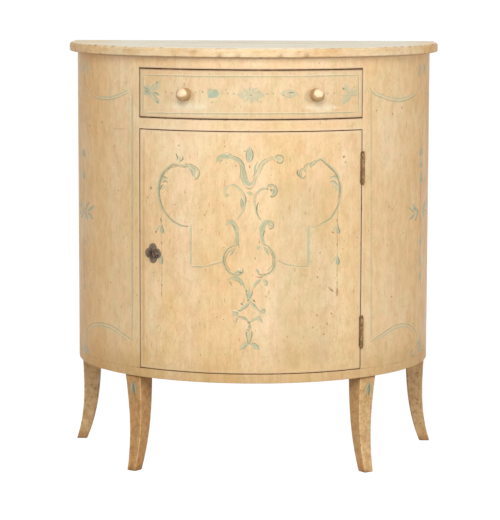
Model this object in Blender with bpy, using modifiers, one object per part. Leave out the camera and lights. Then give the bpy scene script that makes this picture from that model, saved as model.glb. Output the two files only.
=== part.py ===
"""Demilune cabinet: a half-round painted cupboard on four sabre legs.

One bowed drawer sits over one bowed door, and the carcass is a half circle with a
short straight return to the wall. Units are metres, +Z is up and the front faces -Y.
The origin is on the floor, under the middle of the top board. Left and right are
as seen by a person who stands in front of the cabinet.
"""

from math import acos, asin, ceil, cos, pi, radians, sin, sqrt

import bmesh
import bpy
from mathutils import Matrix, Vector

COLLECTION_NAME = "demilune_cabinet"
CUTTER_COLLECTION_NAME = "demilune_cabinet_cutters"

# Overall sizes
HEIGHT = 0.950
BODY_RADIUS = 0.408
SIDE_RETURN = 0.080
LEG_HEIGHT = 0.217

# Clearances, and how finely curves are cut into facets
FIT_GAP = 0.0003
SHUT_GAP = 0.0016
BORE_GAP = 0.0003
SLIDE_GAP = 0.0005
CUT_OVERRUN = 0.004
WELD_DISTANCE = 0.00001
FACET_ANGLE = radians(2.5)
ROUND_SIDES = 16
HARD_EDGE_ANGLE = radians(35.0)

# Boards of the carcass
TOP_THICKNESS = 0.0205
TOP_OVERHANG = 0.0182
TOP_EDGE_ROUND = 0.0045
BOTTOM_THICKNESS = 0.020
PANEL_THICKNESS = 0.018
BACK_THICKNESS = 0.010
BACK_BOARD_COUNT = 3
SHELF_THICKNESS = 0.016
SHELF_HEIGHT_SHARE = 0.50
SHELF_SETBACK = 0.048
DUST_PANEL_THICKNESS = 0.006

# Front opening, rails and posts
OPENING_HALF_WIDTH = 0.245
TOP_RAIL_HEIGHT = 0.0265
DRAWER_OPENING_HEIGHT = 0.109
BLADE_HEIGHT = 0.0243
TOP_RAIL_DEPTH = 0.035
BLADE_DEPTH = 0.045
POST_WIDTH = 0.034
POST_DEPTH = 0.028
REAR_POST_SIZE = 0.030
BACK_RAIL_DEPTH = 0.020
BEARER_WIDTH = 0.022
BEARER_HEIGHT = 0.020

# Drawer and its slides
DRAWER_FRONT_THICKNESS = 0.020
DRAWER_SIDE_THICKNESS = 0.012
DRAWER_BACK_THICKNESS = 0.012
DRAWER_BOTTOM_THICKNESS = 0.006
DRAWER_BOTTOM_RAISE = 0.008
DRAWER_GROOVE_DEPTH = 0.005
DRAWER_REAR_CLEARANCE = 0.012
RUNNER_WIDTH = 0.030
RUNNER_HEIGHT = 0.020
GUIDE_WIDTH = 0.017
GUIDE_HEIGHT = 0.018
GUIDE_SETBACK = 0.010
STOP_THICKNESS = 0.0055
STOP_DEPTH = 0.016
STOP_WIDTH = 0.040
STOP_INNER_X = 0.110

# Turned knobs
KNOB_X = 0.1405
KNOB_TENON_RADIUS = 0.0050
KNOB_TENON_LENGTH = 0.013
KNOB_COLLAR_RADIUS = 0.0135
KNOB_COLLAR_HEIGHT = 0.0025
KNOB_NECK_RADIUS = 0.0088
KNOB_NECK_HEIGHT = 0.0095
KNOB_HEAD_RADIUS = 0.0145
KNOB_HEAD_HEIGHT = 0.0150
KNOB_SEAT_LIFT = 0.0004
KNOB_HEAD_STEPS = 8

# Door, its battens and its stop
DOOR_THICKNESS = 0.020
BATTEN_THICKNESS = 0.018
BATTEN_HEIGHT = 0.050
BATTEN_HALF_LENGTH = 0.165
BATTEN_END_SHARE = 0.14
DOOR_STOP_SIZE = 0.016
DOOR_STOP_HEIGHT = 0.012
DOOR_STOP_INNER_X = 0.040

# Hinges
BARREL_RADIUS = 0.0040
BARREL_LIFT = 0.0007
BARREL_LENGTH = 0.064
PIN_RADIUS = 0.0019
FINIAL_RADIUS = 0.0036
FINIAL_NECK_RADIUS = 0.0026
FINIAL_HEIGHT = 0.0052
FINIAL_SHAPE_SHARES = ((0.0, 1.0), (0.35, 0.9), (0.75, 0.72), (1.0, 0.5), (0.75, 0.28))
FINIAL_NECK_SHARE = 0.15
LEAF_THICKNESS = 0.0018
LEAF_WIDTH = 0.0195
LEAF_HEIGHT = 0.067
LEAF_TAB_EXTRA = 0.0007
UPPER_HINGE_FALL = 0.083
LOWER_HINGE_RISE = 0.0824
SCREW_HEAD_RADIUS = 0.0031
SCREW_SHANK_RADIUS = 0.0014
SCREW_LENGTH = 0.012
SCREW_SPREAD = 0.020
FRAME_SCREW_INSET = 0.0145
DOOR_SCREW_INSET = 0.0075

# Lock, keeper and escutcheon
LOCK_HEIGHT = 0.4966
LOCK_CASE_WIDTH = 0.064
LOCK_CASE_HEIGHT = 0.058
LOCK_CASE_THICKNESS = 0.012
BOLT_LENGTH = 0.040
BOLT_HEIGHT = 0.014
BOLT_THICKNESS = 0.0066
BOLT_PROUD = 0.0005
BOLT_THROW = 0.012
KEEPER_THICKNESS = 0.0015
KEEPER_WIDTH = 0.0145
KEEPER_HEIGHT = 0.040
ESCUTCHEON_EDGE_INSET = 0.0297
ESCUTCHEON_HEIGHT = 0.045
ESCUTCHEON_WIDTH = 0.046
ESCUTCHEON_THICKNESS = 0.0016
ESCUTCHEON_LOBE_SHARE = 0.245
ESCUTCHEON_LOBE_STEPS = 8
KEYHOLE_RADIUS = 0.0024
KEYHOLE_SLOT_WIDTH = 0.0026
KEYHOLE_SLOT_DROP = 0.0080
KEYHOLE_CASE_DEPTH = 0.003

# Sabre legs
LEG_TOP_WIDTH = 0.0435
LEG_FOOT_WIDTH = 0.0240
LEG_ROWS = 12
LEG_ARRIS = 0.0015
LEG_TENON_WIDTH = 0.022
LEG_TENON_LENGTH = 0.014
FRONT_LEG_TURN = radians(36.0)
FRONT_LEG_SETBACK = 0.0055
FRONT_LEG_KICK = 0.017
FRONT_LEG_SWAY = 0.005
REAR_LEG_SETBACK = 0.0015
REAR_LEG_BACK_INSET = 0.001
REAR_LEG_KICK = 0.025
REAR_LEG_SWAY = 0.001
LEG_KICK_POWER = 3.2

# Places worked out from the sizes above
WIDEST_Y = (BODY_RADIUS + TOP_OVERHANG - SIDE_RETURN) / 2
BACK_Y = WIDEST_Y + SIDE_RETURN
INNER_RADIUS = BODY_RADIUS - PANEL_THICKNESS
BOARD_REAR_Y = BACK_Y - BACK_THICKNESS - FIT_GAP
BOTTOM_TOP = LEG_HEIGHT + BOTTOM_THICKNESS
TOP_UNDERSIDE = HEIGHT - TOP_THICKNESS
TOP_RAIL_LOW = TOP_UNDERSIDE - TOP_RAIL_HEIGHT
BLADE_TOP = TOP_RAIL_LOW - DRAWER_OPENING_HEIGHT
BLADE_LOW = BLADE_TOP - BLADE_HEIGHT
LEAF_HALF_WIDTH = OPENING_HALF_WIDTH - SHUT_GAP
REAR_POST_OUTER_X = INNER_RADIUS - FIT_GAP
REAR_POST_INNER_X = REAR_POST_OUTER_X - REAR_POST_SIZE
REAR_POST_FRONT_Y = BOARD_REAR_Y - REAR_POST_SIZE
BACK_RAIL_FRONT_Y = BOARD_REAR_Y - BACK_RAIL_DEPTH
RUNNER_INNER_X = OPENING_HALF_WIDTH - RUNNER_WIDTH
DRAWER_SIDE_OUTER_X = LEAF_HALF_WIDTH
DRAWER_SIDE_INNER_X = DRAWER_SIDE_OUTER_X - DRAWER_SIDE_THICKNESS
DRAWER_LOW = BLADE_TOP + FIT_GAP
DRAWER_HIGH = TOP_RAIL_LOW - SHUT_GAP
DRAWER_REAR_Y = BACK_RAIL_FRONT_Y - DRAWER_REAR_CLEARANCE
DRAWER_FRONT_INNER_RADIUS = BODY_RADIUS - DRAWER_FRONT_THICKNESS
DOOR_LOW = BOTTOM_TOP + SHUT_GAP
DOOR_HIGH = BLADE_LOW - SHUT_GAP
DOOR_INNER_RADIUS = BODY_RADIUS - DOOR_THICKNESS
ESCUTCHEON_X = LEAF_HALF_WIDTH - ESCUTCHEON_EDGE_INSET
SHELF_LOW = BOTTOM_TOP + (BLADE_LOW - BOTTOM_TOP) * SHELF_HEIGHT_SHARE


def remove_objects():
    """Empty the scene of its objects."""
    for item in list(bpy.data.objects):
        bpy.data.objects.remove(item, do_unlink=True)


def new_collection(name):
    """Make a collection under the scene, and return it."""
    collection = bpy.data.collections.new(name)
    bpy.context.scene.collection.children.link(collection)
    return collection


def new_material(name, colour, roughness, metallic=0.0):
    """Return a plain Principled material."""
    material = bpy.data.materials.new(name)
    material.use_nodes = True
    shader = material.node_tree.nodes["Principled BSDF"]
    shader.inputs["Base Color"].default_value = (*colour, 1.0)
    shader.inputs["Roughness"].default_value = roughness
    shader.inputs["Metallic"].default_value = metallic
    return material


remove_objects()
PARTS = new_collection(COLLECTION_NAME)
CUTTERS = new_collection(CUTTER_COLLECTION_NAME)
PAINT = new_material("cream_paint", (0.80, 0.62, 0.38), 0.45)
TOP_PAINT = new_material("top_paint", (0.76, 0.66, 0.50), 0.50)
RAW_PINE = new_material("raw_pine", (0.46, 0.30, 0.16), 0.75)
DRAWER_PINE = new_material("drawer_pine", (0.55, 0.38, 0.21), 0.70)
GILT = new_material("knob_gilt", (0.56, 0.35, 0.16), 0.38, 0.6)
IRON = new_material("old_iron", (0.16, 0.11, 0.08), 0.55, 0.8)
HINGE_IRON = new_material("hinge_iron", (0.26, 0.17, 0.10), 0.55, 0.7)
STEEL = new_material("bolt_steel", (0.35, 0.33, 0.30), 0.40, 0.9)


def add_part(name, mesh, material, location=(0, 0, 0)):
    """Put a mesh into the cabinet's collection as a named piece."""
    piece = bpy.data.objects.new(name, mesh)
    piece.location = location
    piece.data.materials.clear()
    piece.data.materials.append(material)
    PARTS.objects.link(piece)
    return piece


def make_cutter(piece):
    """Turn a piece into a wire cutter that the model leaves out."""
    PARTS.objects.unlink(piece)
    CUTTERS.objects.link(piece)
    piece.hide_render = True
    piece.display_type = "WIRE"
    return piece


def combine(piece, tool, operation):
    """Cut a tool away from a piece, or join it to the piece."""
    modifier = piece.modifiers.new(operation.lower(), "BOOLEAN")
    modifier.operation = operation
    modifier.solver = "EXACT"
    modifier.object = tool


def round_edges(piece, width, segments=1, limit=HARD_EDGE_ANGLE):
    """Take the sharpness off the hard edges of a piece."""
    bevel = piece.modifiers.new("rounding", "BEVEL")
    bevel.width = width
    bevel.segments = segments
    bevel.limit_method = "ANGLE"
    bevel.angle_limit = limit


def bow_y(x, radius):
    """Return how far forward a circle about the widest line lies at x."""
    return WIDEST_Y - sqrt(max(radius * radius - x * x, 0.0))


def bow_points(radius, x_from, x_to):
    """Return points along the bow between two x values."""
    angle_from = asin(max(-1.0, min(1.0, x_from / radius)))
    angle_to = asin(max(-1.0, min(1.0, x_to / radius)))
    steps = max(1, ceil(abs(angle_to - angle_from) / FACET_ANGLE - WELD_DISTANCE))
    points = []
    for index in range(steps + 1):
        angle = angle_from + (angle_to - angle_from) * index / steps
        points.append((radius * sin(angle), WIDEST_Y - radius * cos(angle)))
    return points


def band_outline(radius, thickness, x_from, x_to):
    """Return the outline of a curved board that ends square to X."""
    outer = bow_points(radius, x_from, x_to)
    inner = bow_points(radius - thickness, x_from, x_to)
    return outer + inner[::-1]


def flank_outline(side, radius, thickness, x_from, rear_y):
    """Return the outline of a board that bends round one side and runs back."""
    outer = bow_points(radius, x_from, radius) + [(radius, rear_y)]
    inner = bow_points(radius - thickness, x_from, radius - thickness)
    inner.append((radius - thickness, rear_y))
    return [(side * x, y) for x, y in outer + inner[::-1]]


def half_round_outline(radius, rear_y):
    """Return the outline of a half-round board with a straight back."""
    return bow_points(radius, -radius, radius) + [(radius, rear_y), (-radius, rear_y)]


def plate(name, outline, low, high, material):
    """Extrude an outline between two heights and return it as a mesh piece."""
    curve = bpy.data.curves.new(name, "CURVE")
    curve.dimensions = "2D"
    curve.fill_mode = "BOTH"
    curve.extrude = (high - low) / 2
    spline = curve.splines.new("POLY")
    spline.points.add(len(outline) - 1)
    for point, (x, y) in zip(spline.points, outline):
        point.co = (x, y, 0.0, 1.0)
    spline.use_cyclic_u = True
    holder = bpy.data.objects.new(name + "_outline", curve)
    PARTS.objects.link(holder)
    depsgraph = bpy.context.evaluated_depsgraph_get()
    mesh = bpy.data.meshes.new_from_object(holder.evaluated_get(depsgraph))
    bpy.data.objects.remove(holder, do_unlink=True)
    body = bmesh.new()
    body.from_mesh(mesh)
    bmesh.ops.remove_doubles(body, verts=body.verts, dist=WELD_DISTANCE)
    bmesh.ops.recalc_face_normals(body, faces=body.faces)
    body.to_mesh(mesh)
    body.free()
    return add_part(name, mesh, material, (0, 0, (high + low) / 2))


def block(name, low, high, material, turn=0.0, pivot=(0, 0, 0)):
    """Make a box between two corners, turned about a vertical line at the pivot."""
    low = Vector(low)
    high = Vector(high)
    size = high - low
    mesh = bpy.data.meshes.new(name)
    body = bmesh.new()
    bmesh.ops.create_cube(body, size=1, matrix=Matrix.Diagonal((*size, 1)))
    body.to_mesh(mesh)
    body.free()
    piece = add_part(name, mesh, material)
    rotation = Matrix.Rotation(turn, 4, "Z")
    piece.location = Vector(pivot) + rotation @ ((low + high) / 2)
    piece.rotation_euler = (0, 0, turn)
    return piece


def turned(name, profile, material, steps=ROUND_SIDES):
    """Spin a profile of (radius, height) points, given from the top down."""
    mesh = bpy.data.meshes.new(name)
    points = [(radius, 0, height) for radius, height in profile]
    links = [(index, index + 1) for index in range(len(points) - 1)]
    mesh.from_pydata(points, links, [])
    piece = add_part(name, mesh, material)
    screw = piece.modifiers.new("turning", "SCREW")
    screw.steps = steps
    screw.render_steps = steps
    screw.use_merge_vertices = True
    screw.merge_threshold = WELD_DISTANCE
    screw.use_smooth_shade = True
    return piece


def rod(name, radius, low, high, material, steps=ROUND_SIDES):
    """Make a plain upright cylinder at the origin of its object."""
    mesh = bpy.data.meshes.new(name)
    body = bmesh.new()
    bmesh.ops.create_cone(body, cap_ends=True, segments=steps, radius1=radius,
                          radius2=radius, depth=high - low,
                          matrix=Matrix.Translation((0, 0, (high + low) / 2)))
    body.to_mesh(mesh)
    body.free()
    return add_part(name, mesh, material)


def surface_frame(x, radius, height):
    """Return a matrix at the bow with +Z out of the surface and +Y up."""
    angle = asin(x / radius)
    outward = Vector((sin(angle), -cos(angle), 0))
    upward = Vector((0, 0, 1))
    across = upward.cross(outward)
    matrix = Matrix((across, upward, outward)).transposed().to_4x4()
    matrix.translation = (x, bow_y(x, radius), height)
    return matrix


def empty_at(name, location):
    """Make an empty on a joint's axis for moving pieces to hang from."""
    empty = bpy.data.objects.new(name, None)
    empty.location = location
    PARTS.objects.link(empty)
    return empty


def hang_on(parent, pieces):
    """Parent pieces to an empty and leave them where they stand."""
    bpy.context.view_layer.update()
    for piece in pieces:
        piece.parent = parent
        piece.matrix_parent_inverse = parent.matrix_world.inverted()


def make_boards():
    """Make the top, the bottom, the back boards and their rails."""
    top = plate("top_board", half_round_outline(BODY_RADIUS + TOP_OVERHANG, BACK_Y),
                TOP_UNDERSIDE, HEIGHT, TOP_PAINT)
    round_edges(top, TOP_EDGE_ROUND, 2)
    bottom = plate("bottom_board", half_round_outline(BODY_RADIUS, BACK_Y),
                   LEG_HEIGHT, BOTTOM_TOP, PAINT)
    span = 2 * REAR_POST_OUTER_X
    pitch = (span + FIT_GAP) / BACK_BOARD_COUNT
    for index, place in enumerate(("left", "centre", "right")):
        low_x = -REAR_POST_OUTER_X + index * pitch
        block("back_board_" + place, (low_x, BACK_Y - BACK_THICKNESS, BOTTOM_TOP + FIT_GAP),
              (low_x + pitch - FIT_GAP, BACK_Y, TOP_UNDERSIDE - FIT_GAP), RAW_PINE)
    rails = (("back_rail_top", TOP_RAIL_LOW, TOP_UNDERSIDE - FIT_GAP),
             ("back_rail_middle", BLADE_TOP - RUNNER_HEIGHT, BLADE_TOP))
    for name, low, high in rails:
        reach = REAR_POST_INNER_X - FIT_GAP
        block(name, (-reach, BACK_RAIL_FRONT_Y, low), (reach, BOARD_REAR_Y, high), RAW_PINE)
    return bottom


def make_sides():
    """Make the curved side panels and the posts behind their edges."""
    panels = {}
    posts = {}
    low = BOTTOM_TOP + FIT_GAP
    high = TOP_UNDERSIDE - FIT_GAP
    for place, side in (("left", -1), ("right", 1)):
        outline = flank_outline(side, BODY_RADIUS, PANEL_THICKNESS, OPENING_HALF_WIDTH, BACK_Y)
        panels[place] = plate("side_panel_" + place, outline, low, high, PAINT)
        outline = band_outline(INNER_RADIUS - FIT_GAP, POST_DEPTH, OPENING_HALF_WIDTH,
                               OPENING_HALF_WIDTH + POST_WIDTH)
        outline = [(side * x, y) for x, y in outline]
        posts[place] = plate("front_post_" + place, outline, low, high, RAW_PINE)
        near = side * REAR_POST_INNER_X
        far = side * REAR_POST_OUTER_X
        block("rear_post_" + place, (min(near, far), REAR_POST_FRONT_Y, low),
              (max(near, far), BOARD_REAR_Y, high), RAW_PINE)
    return panels, posts


def make_front_rails():
    """Make the rail over the drawer and the blade between drawer and door."""
    reach = OPENING_HALF_WIDTH - FIT_GAP
    plate("top_rail", band_outline(BODY_RADIUS, TOP_RAIL_DEPTH, -reach, reach),
          TOP_RAIL_LOW, TOP_UNDERSIDE - FIT_GAP, PAINT)
    plate("drawer_blade", band_outline(BODY_RADIUS, BLADE_DEPTH, -reach, reach),
          BLADE_LOW, BLADE_TOP, PAINT)


def slide_outline(side, front_radius, with_guide):
    """Return the outline of a runner or kicker, from the front rail to the back rail."""
    outer_x = OPENING_HALF_WIDTH - FIT_GAP
    rear_y = BACK_RAIL_FRONT_Y - FIT_GAP
    outline = bow_points(front_radius - FIT_GAP, RUNNER_INNER_X, outer_x)
    if with_guide:
        guide_x = OPENING_HALF_WIDTH + GUIDE_WIDTH
        step_y = guide_front_y()
        outline += [(outer_x, step_y), (guide_x, step_y), (guide_x, rear_y)]
    else:
        outline.append((outer_x, rear_y))
    outline.append((RUNNER_INNER_X, rear_y))
    return [(side * x, y) for x, y in outline]


def guide_front_y():
    """Return where the guides start, just behind the front posts."""
    post_rear_radius = INNER_RADIUS - FIT_GAP - POST_DEPTH
    return bow_y(OPENING_HALF_WIDTH + GUIDE_WIDTH, post_rear_radius) + GUIDE_SETBACK


def make_drawer_slides():
    """Make the runners, guides, kickers, dust panel and stops of the drawer."""
    blade_rear = BODY_RADIUS - BLADE_DEPTH
    rail_rear = BODY_RADIUS - TOP_RAIL_DEPTH
    rear_y = BACK_RAIL_FRONT_Y - FIT_GAP
    for place, side in (("left", -1), ("right", 1)):
        plate("drawer_runner_" + place, slide_outline(side, blade_rear, True),
              BLADE_TOP - RUNNER_HEIGHT, BLADE_TOP, RAW_PINE)
        plate("drawer_kicker_" + place, slide_outline(side, rail_rear, False),
              TOP_RAIL_LOW, TOP_UNDERSIDE - FIT_GAP, RAW_PINE)
        near = side * (OPENING_HALF_WIDTH - FIT_GAP)
        far = side * (OPENING_HALF_WIDTH + GUIDE_WIDTH)
        block("drawer_guide_" + place,
              (min(near, far), guide_front_y(), BLADE_TOP + FIT_GAP),
              (max(near, far), rear_y, BLADE_TOP + GUIDE_HEIGHT), RAW_PINE)
        outline = band_outline(DRAWER_FRONT_INNER_RADIUS - FIT_GAP, STOP_DEPTH,
                               STOP_INNER_X, STOP_INNER_X + STOP_WIDTH)
        plate("drawer_stop_" + place, [(side * x, y) for x, y in outline],
              BLADE_TOP + FIT_GAP, BLADE_TOP + STOP_THICKNESS, RAW_PINE)
    reach = RUNNER_INNER_X - FIT_GAP
    outline = bow_points(blade_rear - FIT_GAP, -reach, reach)
    outline += [(reach, rear_y), (-reach, rear_y)]
    middle = BLADE_TOP - RUNNER_HEIGHT / 2
    plate("dust_panel", outline, middle - DUST_PANEL_THICKNESS / 2,
          middle + DUST_PANEL_THICKNESS / 2, RAW_PINE)


def shelf_outline():
    """Return the right half of the shelf, notched round its two posts."""
    front_radius = BODY_RADIUS - SHELF_SETBACK
    flank_radius = INNER_RADIUS - FIT_GAP
    step_x = OPENING_HALF_WIDTH + POST_WIDTH + FIT_GAP
    right = bow_points(front_radius, 0, step_x)
    right += bow_points(flank_radius, step_x, flank_radius)
    right.append((flank_radius, REAR_POST_FRONT_Y - FIT_GAP))
    right.append((REAR_POST_INNER_X - FIT_GAP, REAR_POST_FRONT_Y - FIT_GAP))
    right.append((REAR_POST_INNER_X - FIT_GAP, BOARD_REAR_Y))
    return right


def make_shelf():
    """Make the shelf in the cupboard and the curved bearers under it."""
    right = shelf_outline()
    left = [(-x, y) for x, y in right[:0:-1]]
    plate("shelf", left + right, SHELF_LOW, SHELF_LOW + SHELF_THICKNESS, RAW_PINE)
    for place, side in (("left", -1), ("right", 1)):
        outline = flank_outline(side, INNER_RADIUS - FIT_GAP, BEARER_WIDTH,
                                OPENING_HALF_WIDTH + POST_WIDTH + FIT_GAP,
                                REAR_POST_FRONT_Y - FIT_GAP)
        plate("shelf_bearer_" + place, outline, SHELF_LOW - FIT_GAP - BEARER_HEIGHT,
              SHELF_LOW - FIT_GAP, RAW_PINE)


def leg_mesh(name, kick, sway):
    """Return a tapering square leg that sweeps towards -Y as it goes down."""
    mesh = bpy.data.meshes.new(name)
    body = bmesh.new()
    bmesh.ops.create_cube(body, size=1)
    uprights = [edge for edge in body.edges
                if abs(edge.verts[0].co.z - edge.verts[1].co.z) > FIT_GAP]
    bmesh.ops.subdivide_edges(body, edges=uprights, cuts=LEG_ROWS - 1, use_grid_fill=True)
    height = LEG_HEIGHT - FIT_GAP
    for vert in body.verts:
        down = 0.5 - vert.co.z
        width = LEG_TOP_WIDTH + (LEG_FOOT_WIDTH - LEG_TOP_WIDTH) * down
        sweep = kick * down ** LEG_KICK_POWER - sway * sin(pi * down)
        vert.co = (vert.co.x * width, vert.co.y * width - sweep, height * (1 - down))
    body.to_mesh(mesh)
    body.free()
    return mesh


def make_leg(name, centre, turn, kick, sway, bottom):
    """Make one leg with a tenon, and sink its mortise in the bottom board."""
    leg = add_part(name, leg_mesh(name, kick, sway), PAINT)
    leg.location = (centre[0], centre[1], 0)
    leg.rotation_euler = (0, 0, turn)
    round_edges(leg, LEG_ARRIS)
    half = LEG_TENON_WIDTH / 2
    top = LEG_HEIGHT + LEG_TENON_LENGTH
    pivot = (centre[0], centre[1], 0)
    tenon = block(name + "_tenon", (-half, -half, LEG_HEIGHT - CUT_OVERRUN), (half, half, top),
                  PAINT, turn, pivot)
    combine(leg, make_cutter(tenon), "UNION")
    half += FIT_GAP
    mortise = block(name + "_mortise", (-half, -half, LEG_HEIGHT - CUT_OVERRUN),
                    (half, half, top + FIT_GAP), PAINT, turn, pivot)
    combine(bottom, make_cutter(mortise), "DIFFERENCE")


def make_legs(bottom):
    """Make the two front legs, turned with the bow, and the two rear legs."""
    face = BODY_RADIUS - FRONT_LEG_SETBACK
    half = LEG_TOP_WIDTH / 2
    shift = (OPENING_HALF_WIDTH - face * sin(FRONT_LEG_TURN)) / cos(FRONT_LEG_TURN) + half
    front_x = (face - half) * sin(FRONT_LEG_TURN) + shift * cos(FRONT_LEG_TURN)
    front_y = WIDEST_Y - (face - half) * cos(FRONT_LEG_TURN) + shift * sin(FRONT_LEG_TURN)
    rear_x = BODY_RADIUS - REAR_LEG_SETBACK - half
    rear_y = BACK_Y - REAR_LEG_BACK_INSET - half
    for place, side in (("left", -1), ("right", 1)):
        make_leg("front_leg_" + place, (side * front_x, front_y), side * FRONT_LEG_TURN,
                 FRONT_LEG_KICK, FRONT_LEG_SWAY, bottom)
        make_leg("rear_leg_" + place, (side * rear_x, rear_y), side * pi / 2,
                 REAR_LEG_KICK, REAR_LEG_SWAY, bottom)


def knob_profile():
    """Return the turned outline of a knob, from its crown to the end of its tenon."""
    neck_top = KNOB_COLLAR_HEIGHT + KNOB_NECK_HEIGHT
    low_angle = -acos(min(1.0, KNOB_NECK_RADIUS / KNOB_HEAD_RADIUS))
    middle = neck_top - KNOB_HEAD_HEIGHT / 2 * sin(low_angle)
    profile = [(0.0, middle + KNOB_HEAD_HEIGHT / 2)]
    for index in range(1, KNOB_HEAD_STEPS + 1):
        angle = pi / 2 + (low_angle - pi / 2) * index / KNOB_HEAD_STEPS
        profile.append((KNOB_HEAD_RADIUS * cos(angle), middle + KNOB_HEAD_HEIGHT / 2 * sin(angle)))
    profile.append((KNOB_NECK_RADIUS, KNOB_COLLAR_HEIGHT))
    profile.append((KNOB_COLLAR_RADIUS, KNOB_COLLAR_HEIGHT / 2))
    profile.append((KNOB_COLLAR_RADIUS, 0.0))
    profile.append((KNOB_TENON_RADIUS, 0.0))
    profile.append((KNOB_TENON_RADIUS, -KNOB_TENON_LENGTH))
    profile.append((0.0, -KNOB_TENON_LENGTH))
    return profile


def make_knob(place, side, front):
    """Make one knob, and bore the hole for its tenon in the drawer front."""
    matrix = surface_frame(side * KNOB_X, BODY_RADIUS, (DRAWER_LOW + DRAWER_HIGH) / 2)
    knob = turned("knob_" + place, knob_profile(), GILT)
    knob.matrix_world = matrix @ Matrix.Translation((0, 0, KNOB_SEAT_LIFT))
    depth = KNOB_TENON_LENGTH + FIT_GAP
    bore = rod("knob_bore_" + place, KNOB_TENON_RADIUS + BORE_GAP, -depth, CUT_OVERRUN, PAINT)
    bore.matrix_world = matrix
    combine(front, make_cutter(bore), "DIFFERENCE")
    return knob


def drawer_bottom_outline(clearance):
    """Return the drawer bottom's outline, let into its grooves, grown by a clearance."""
    radius = DRAWER_FRONT_INNER_RADIUS + DRAWER_GROOVE_DEPTH - FIT_GAP + clearance
    reach = DRAWER_SIDE_INNER_X + DRAWER_GROOVE_DEPTH - FIT_GAP + clearance
    rear_y = DRAWER_REAR_Y + (CUT_OVERRUN if clearance else 0.0)
    return bow_points(radius, -reach, reach) + [(reach, rear_y), (-reach, rear_y)]


def make_drawer():
    """Make the drawer: bowed front, sides, back, bottom and knobs."""
    front = plate("drawer_front",
                  band_outline(BODY_RADIUS, DRAWER_FRONT_THICKNESS, -LEAF_HALF_WIDTH,
                               LEAF_HALF_WIDTH),
                  BLADE_TOP + SHUT_GAP, DRAWER_HIGH, PAINT)
    bottom_low = DRAWER_LOW + DRAWER_BOTTOM_RAISE
    bottom_high = bottom_low + DRAWER_BOTTOM_THICKNESS
    groove = make_cutter(plate("drawer_groove", drawer_bottom_outline(FIT_GAP),
                               bottom_low - FIT_GAP, bottom_high + FIT_GAP, DRAWER_PINE))
    combine(front, groove, "DIFFERENCE")
    pieces = [front]
    for place, side in (("left", -1), ("right", 1)):
        outline = bow_points(DRAWER_FRONT_INNER_RADIUS - FIT_GAP, DRAWER_SIDE_INNER_X,
                             DRAWER_SIDE_OUTER_X)
        outline += [(DRAWER_SIDE_OUTER_X, DRAWER_REAR_Y), (DRAWER_SIDE_INNER_X, DRAWER_REAR_Y)]
        wall = plate("drawer_side_" + place, [(side * x, y) for x, y in outline],
                     DRAWER_LOW, DRAWER_HIGH, DRAWER_PINE)
        combine(wall, groove, "DIFFERENCE")
        pieces.append(wall)
        pieces.append(make_knob(place, side, front))
    pieces.append(plate("drawer_bottom", drawer_bottom_outline(0.0), bottom_low, bottom_high,
                        DRAWER_PINE))
    reach = DRAWER_SIDE_INNER_X - FIT_GAP
    pieces.append(block("drawer_back",
                        (-reach, DRAWER_REAR_Y - DRAWER_BACK_THICKNESS, bottom_high + FIT_GAP),
                        (reach, DRAWER_REAR_Y, DRAWER_HIGH), DRAWER_PINE))
    hang_on(empty_at("drawer_slide_axis", (0, bow_y(0, BODY_RADIUS), DRAWER_LOW)), pieces)


def hinge_axis():
    """Return the x and y of the hinge pins, just proud of the gap beside the door."""
    gap_x = OPENING_HALF_WIDTH - SHUT_GAP / 2
    angle = asin(gap_x / BODY_RADIUS)
    lift = BARREL_RADIUS + BARREL_LIFT
    return gap_x + lift * sin(angle), bow_y(gap_x, BODY_RADIUS) - lift * cos(angle)


def make_leaf(name, plate_low_x, plate_high_x, tab_low_x, tab_high_x, knuckles, height):
    """Make one hinge leaf: a plate, its tabs and the knuckles that it carries."""
    axis_x, axis_y = hinge_axis()
    front_y = bow_y(OPENING_HALF_WIDTH, BODY_RADIUS) + FIT_GAP
    leaf = block(name, (plate_low_x, front_y, height - LEAF_HEIGHT / 2),
                 (plate_high_x, front_y + LEAF_WIDTH, height + LEAF_HEIGHT / 2), HINGE_IRON)
    for index, (low, high) in enumerate(knuckles):
        tab = block(name + "_tab_%d" % index, (tab_low_x, axis_y, low),
                    (tab_high_x, front_y + CUT_OVERRUN, high), HINGE_IRON)
        combine(leaf, make_cutter(tab), "UNION")
        knuckle = rod(name + "_knuckle_%d" % index, BARREL_RADIUS, low, high, HINGE_IRON)
        knuckle.location = (axis_x, axis_y, 0)
        combine(leaf, make_cutter(knuckle), "UNION")
    bore = rod(name + "_bore", PIN_RADIUS + BORE_GAP, -BARREL_LENGTH, BARREL_LENGTH, HINGE_IRON)
    bore.location = (axis_x, axis_y, height)
    combine(leaf, make_cutter(bore), "DIFFERENCE")
    return leaf


def pin_profile():
    """Return the outline of a hinge pin with a turned finial at each end."""
    shank = BARREL_LENGTH / 2 + FIT_GAP
    half = [(FINIAL_RADIUS * wide, shank + FINIAL_HEIGHT * tall)
            for wide, tall in FINIAL_SHAPE_SHARES]
    half.append((FINIAL_NECK_RADIUS, shank + FINIAL_HEIGHT * FINIAL_NECK_SHARE))
    half.append((FINIAL_NECK_RADIUS, shank))
    half.append((PIN_RADIUS, shank))
    return half + [(radius, -height) for radius, height in half[::-1]]


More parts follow.
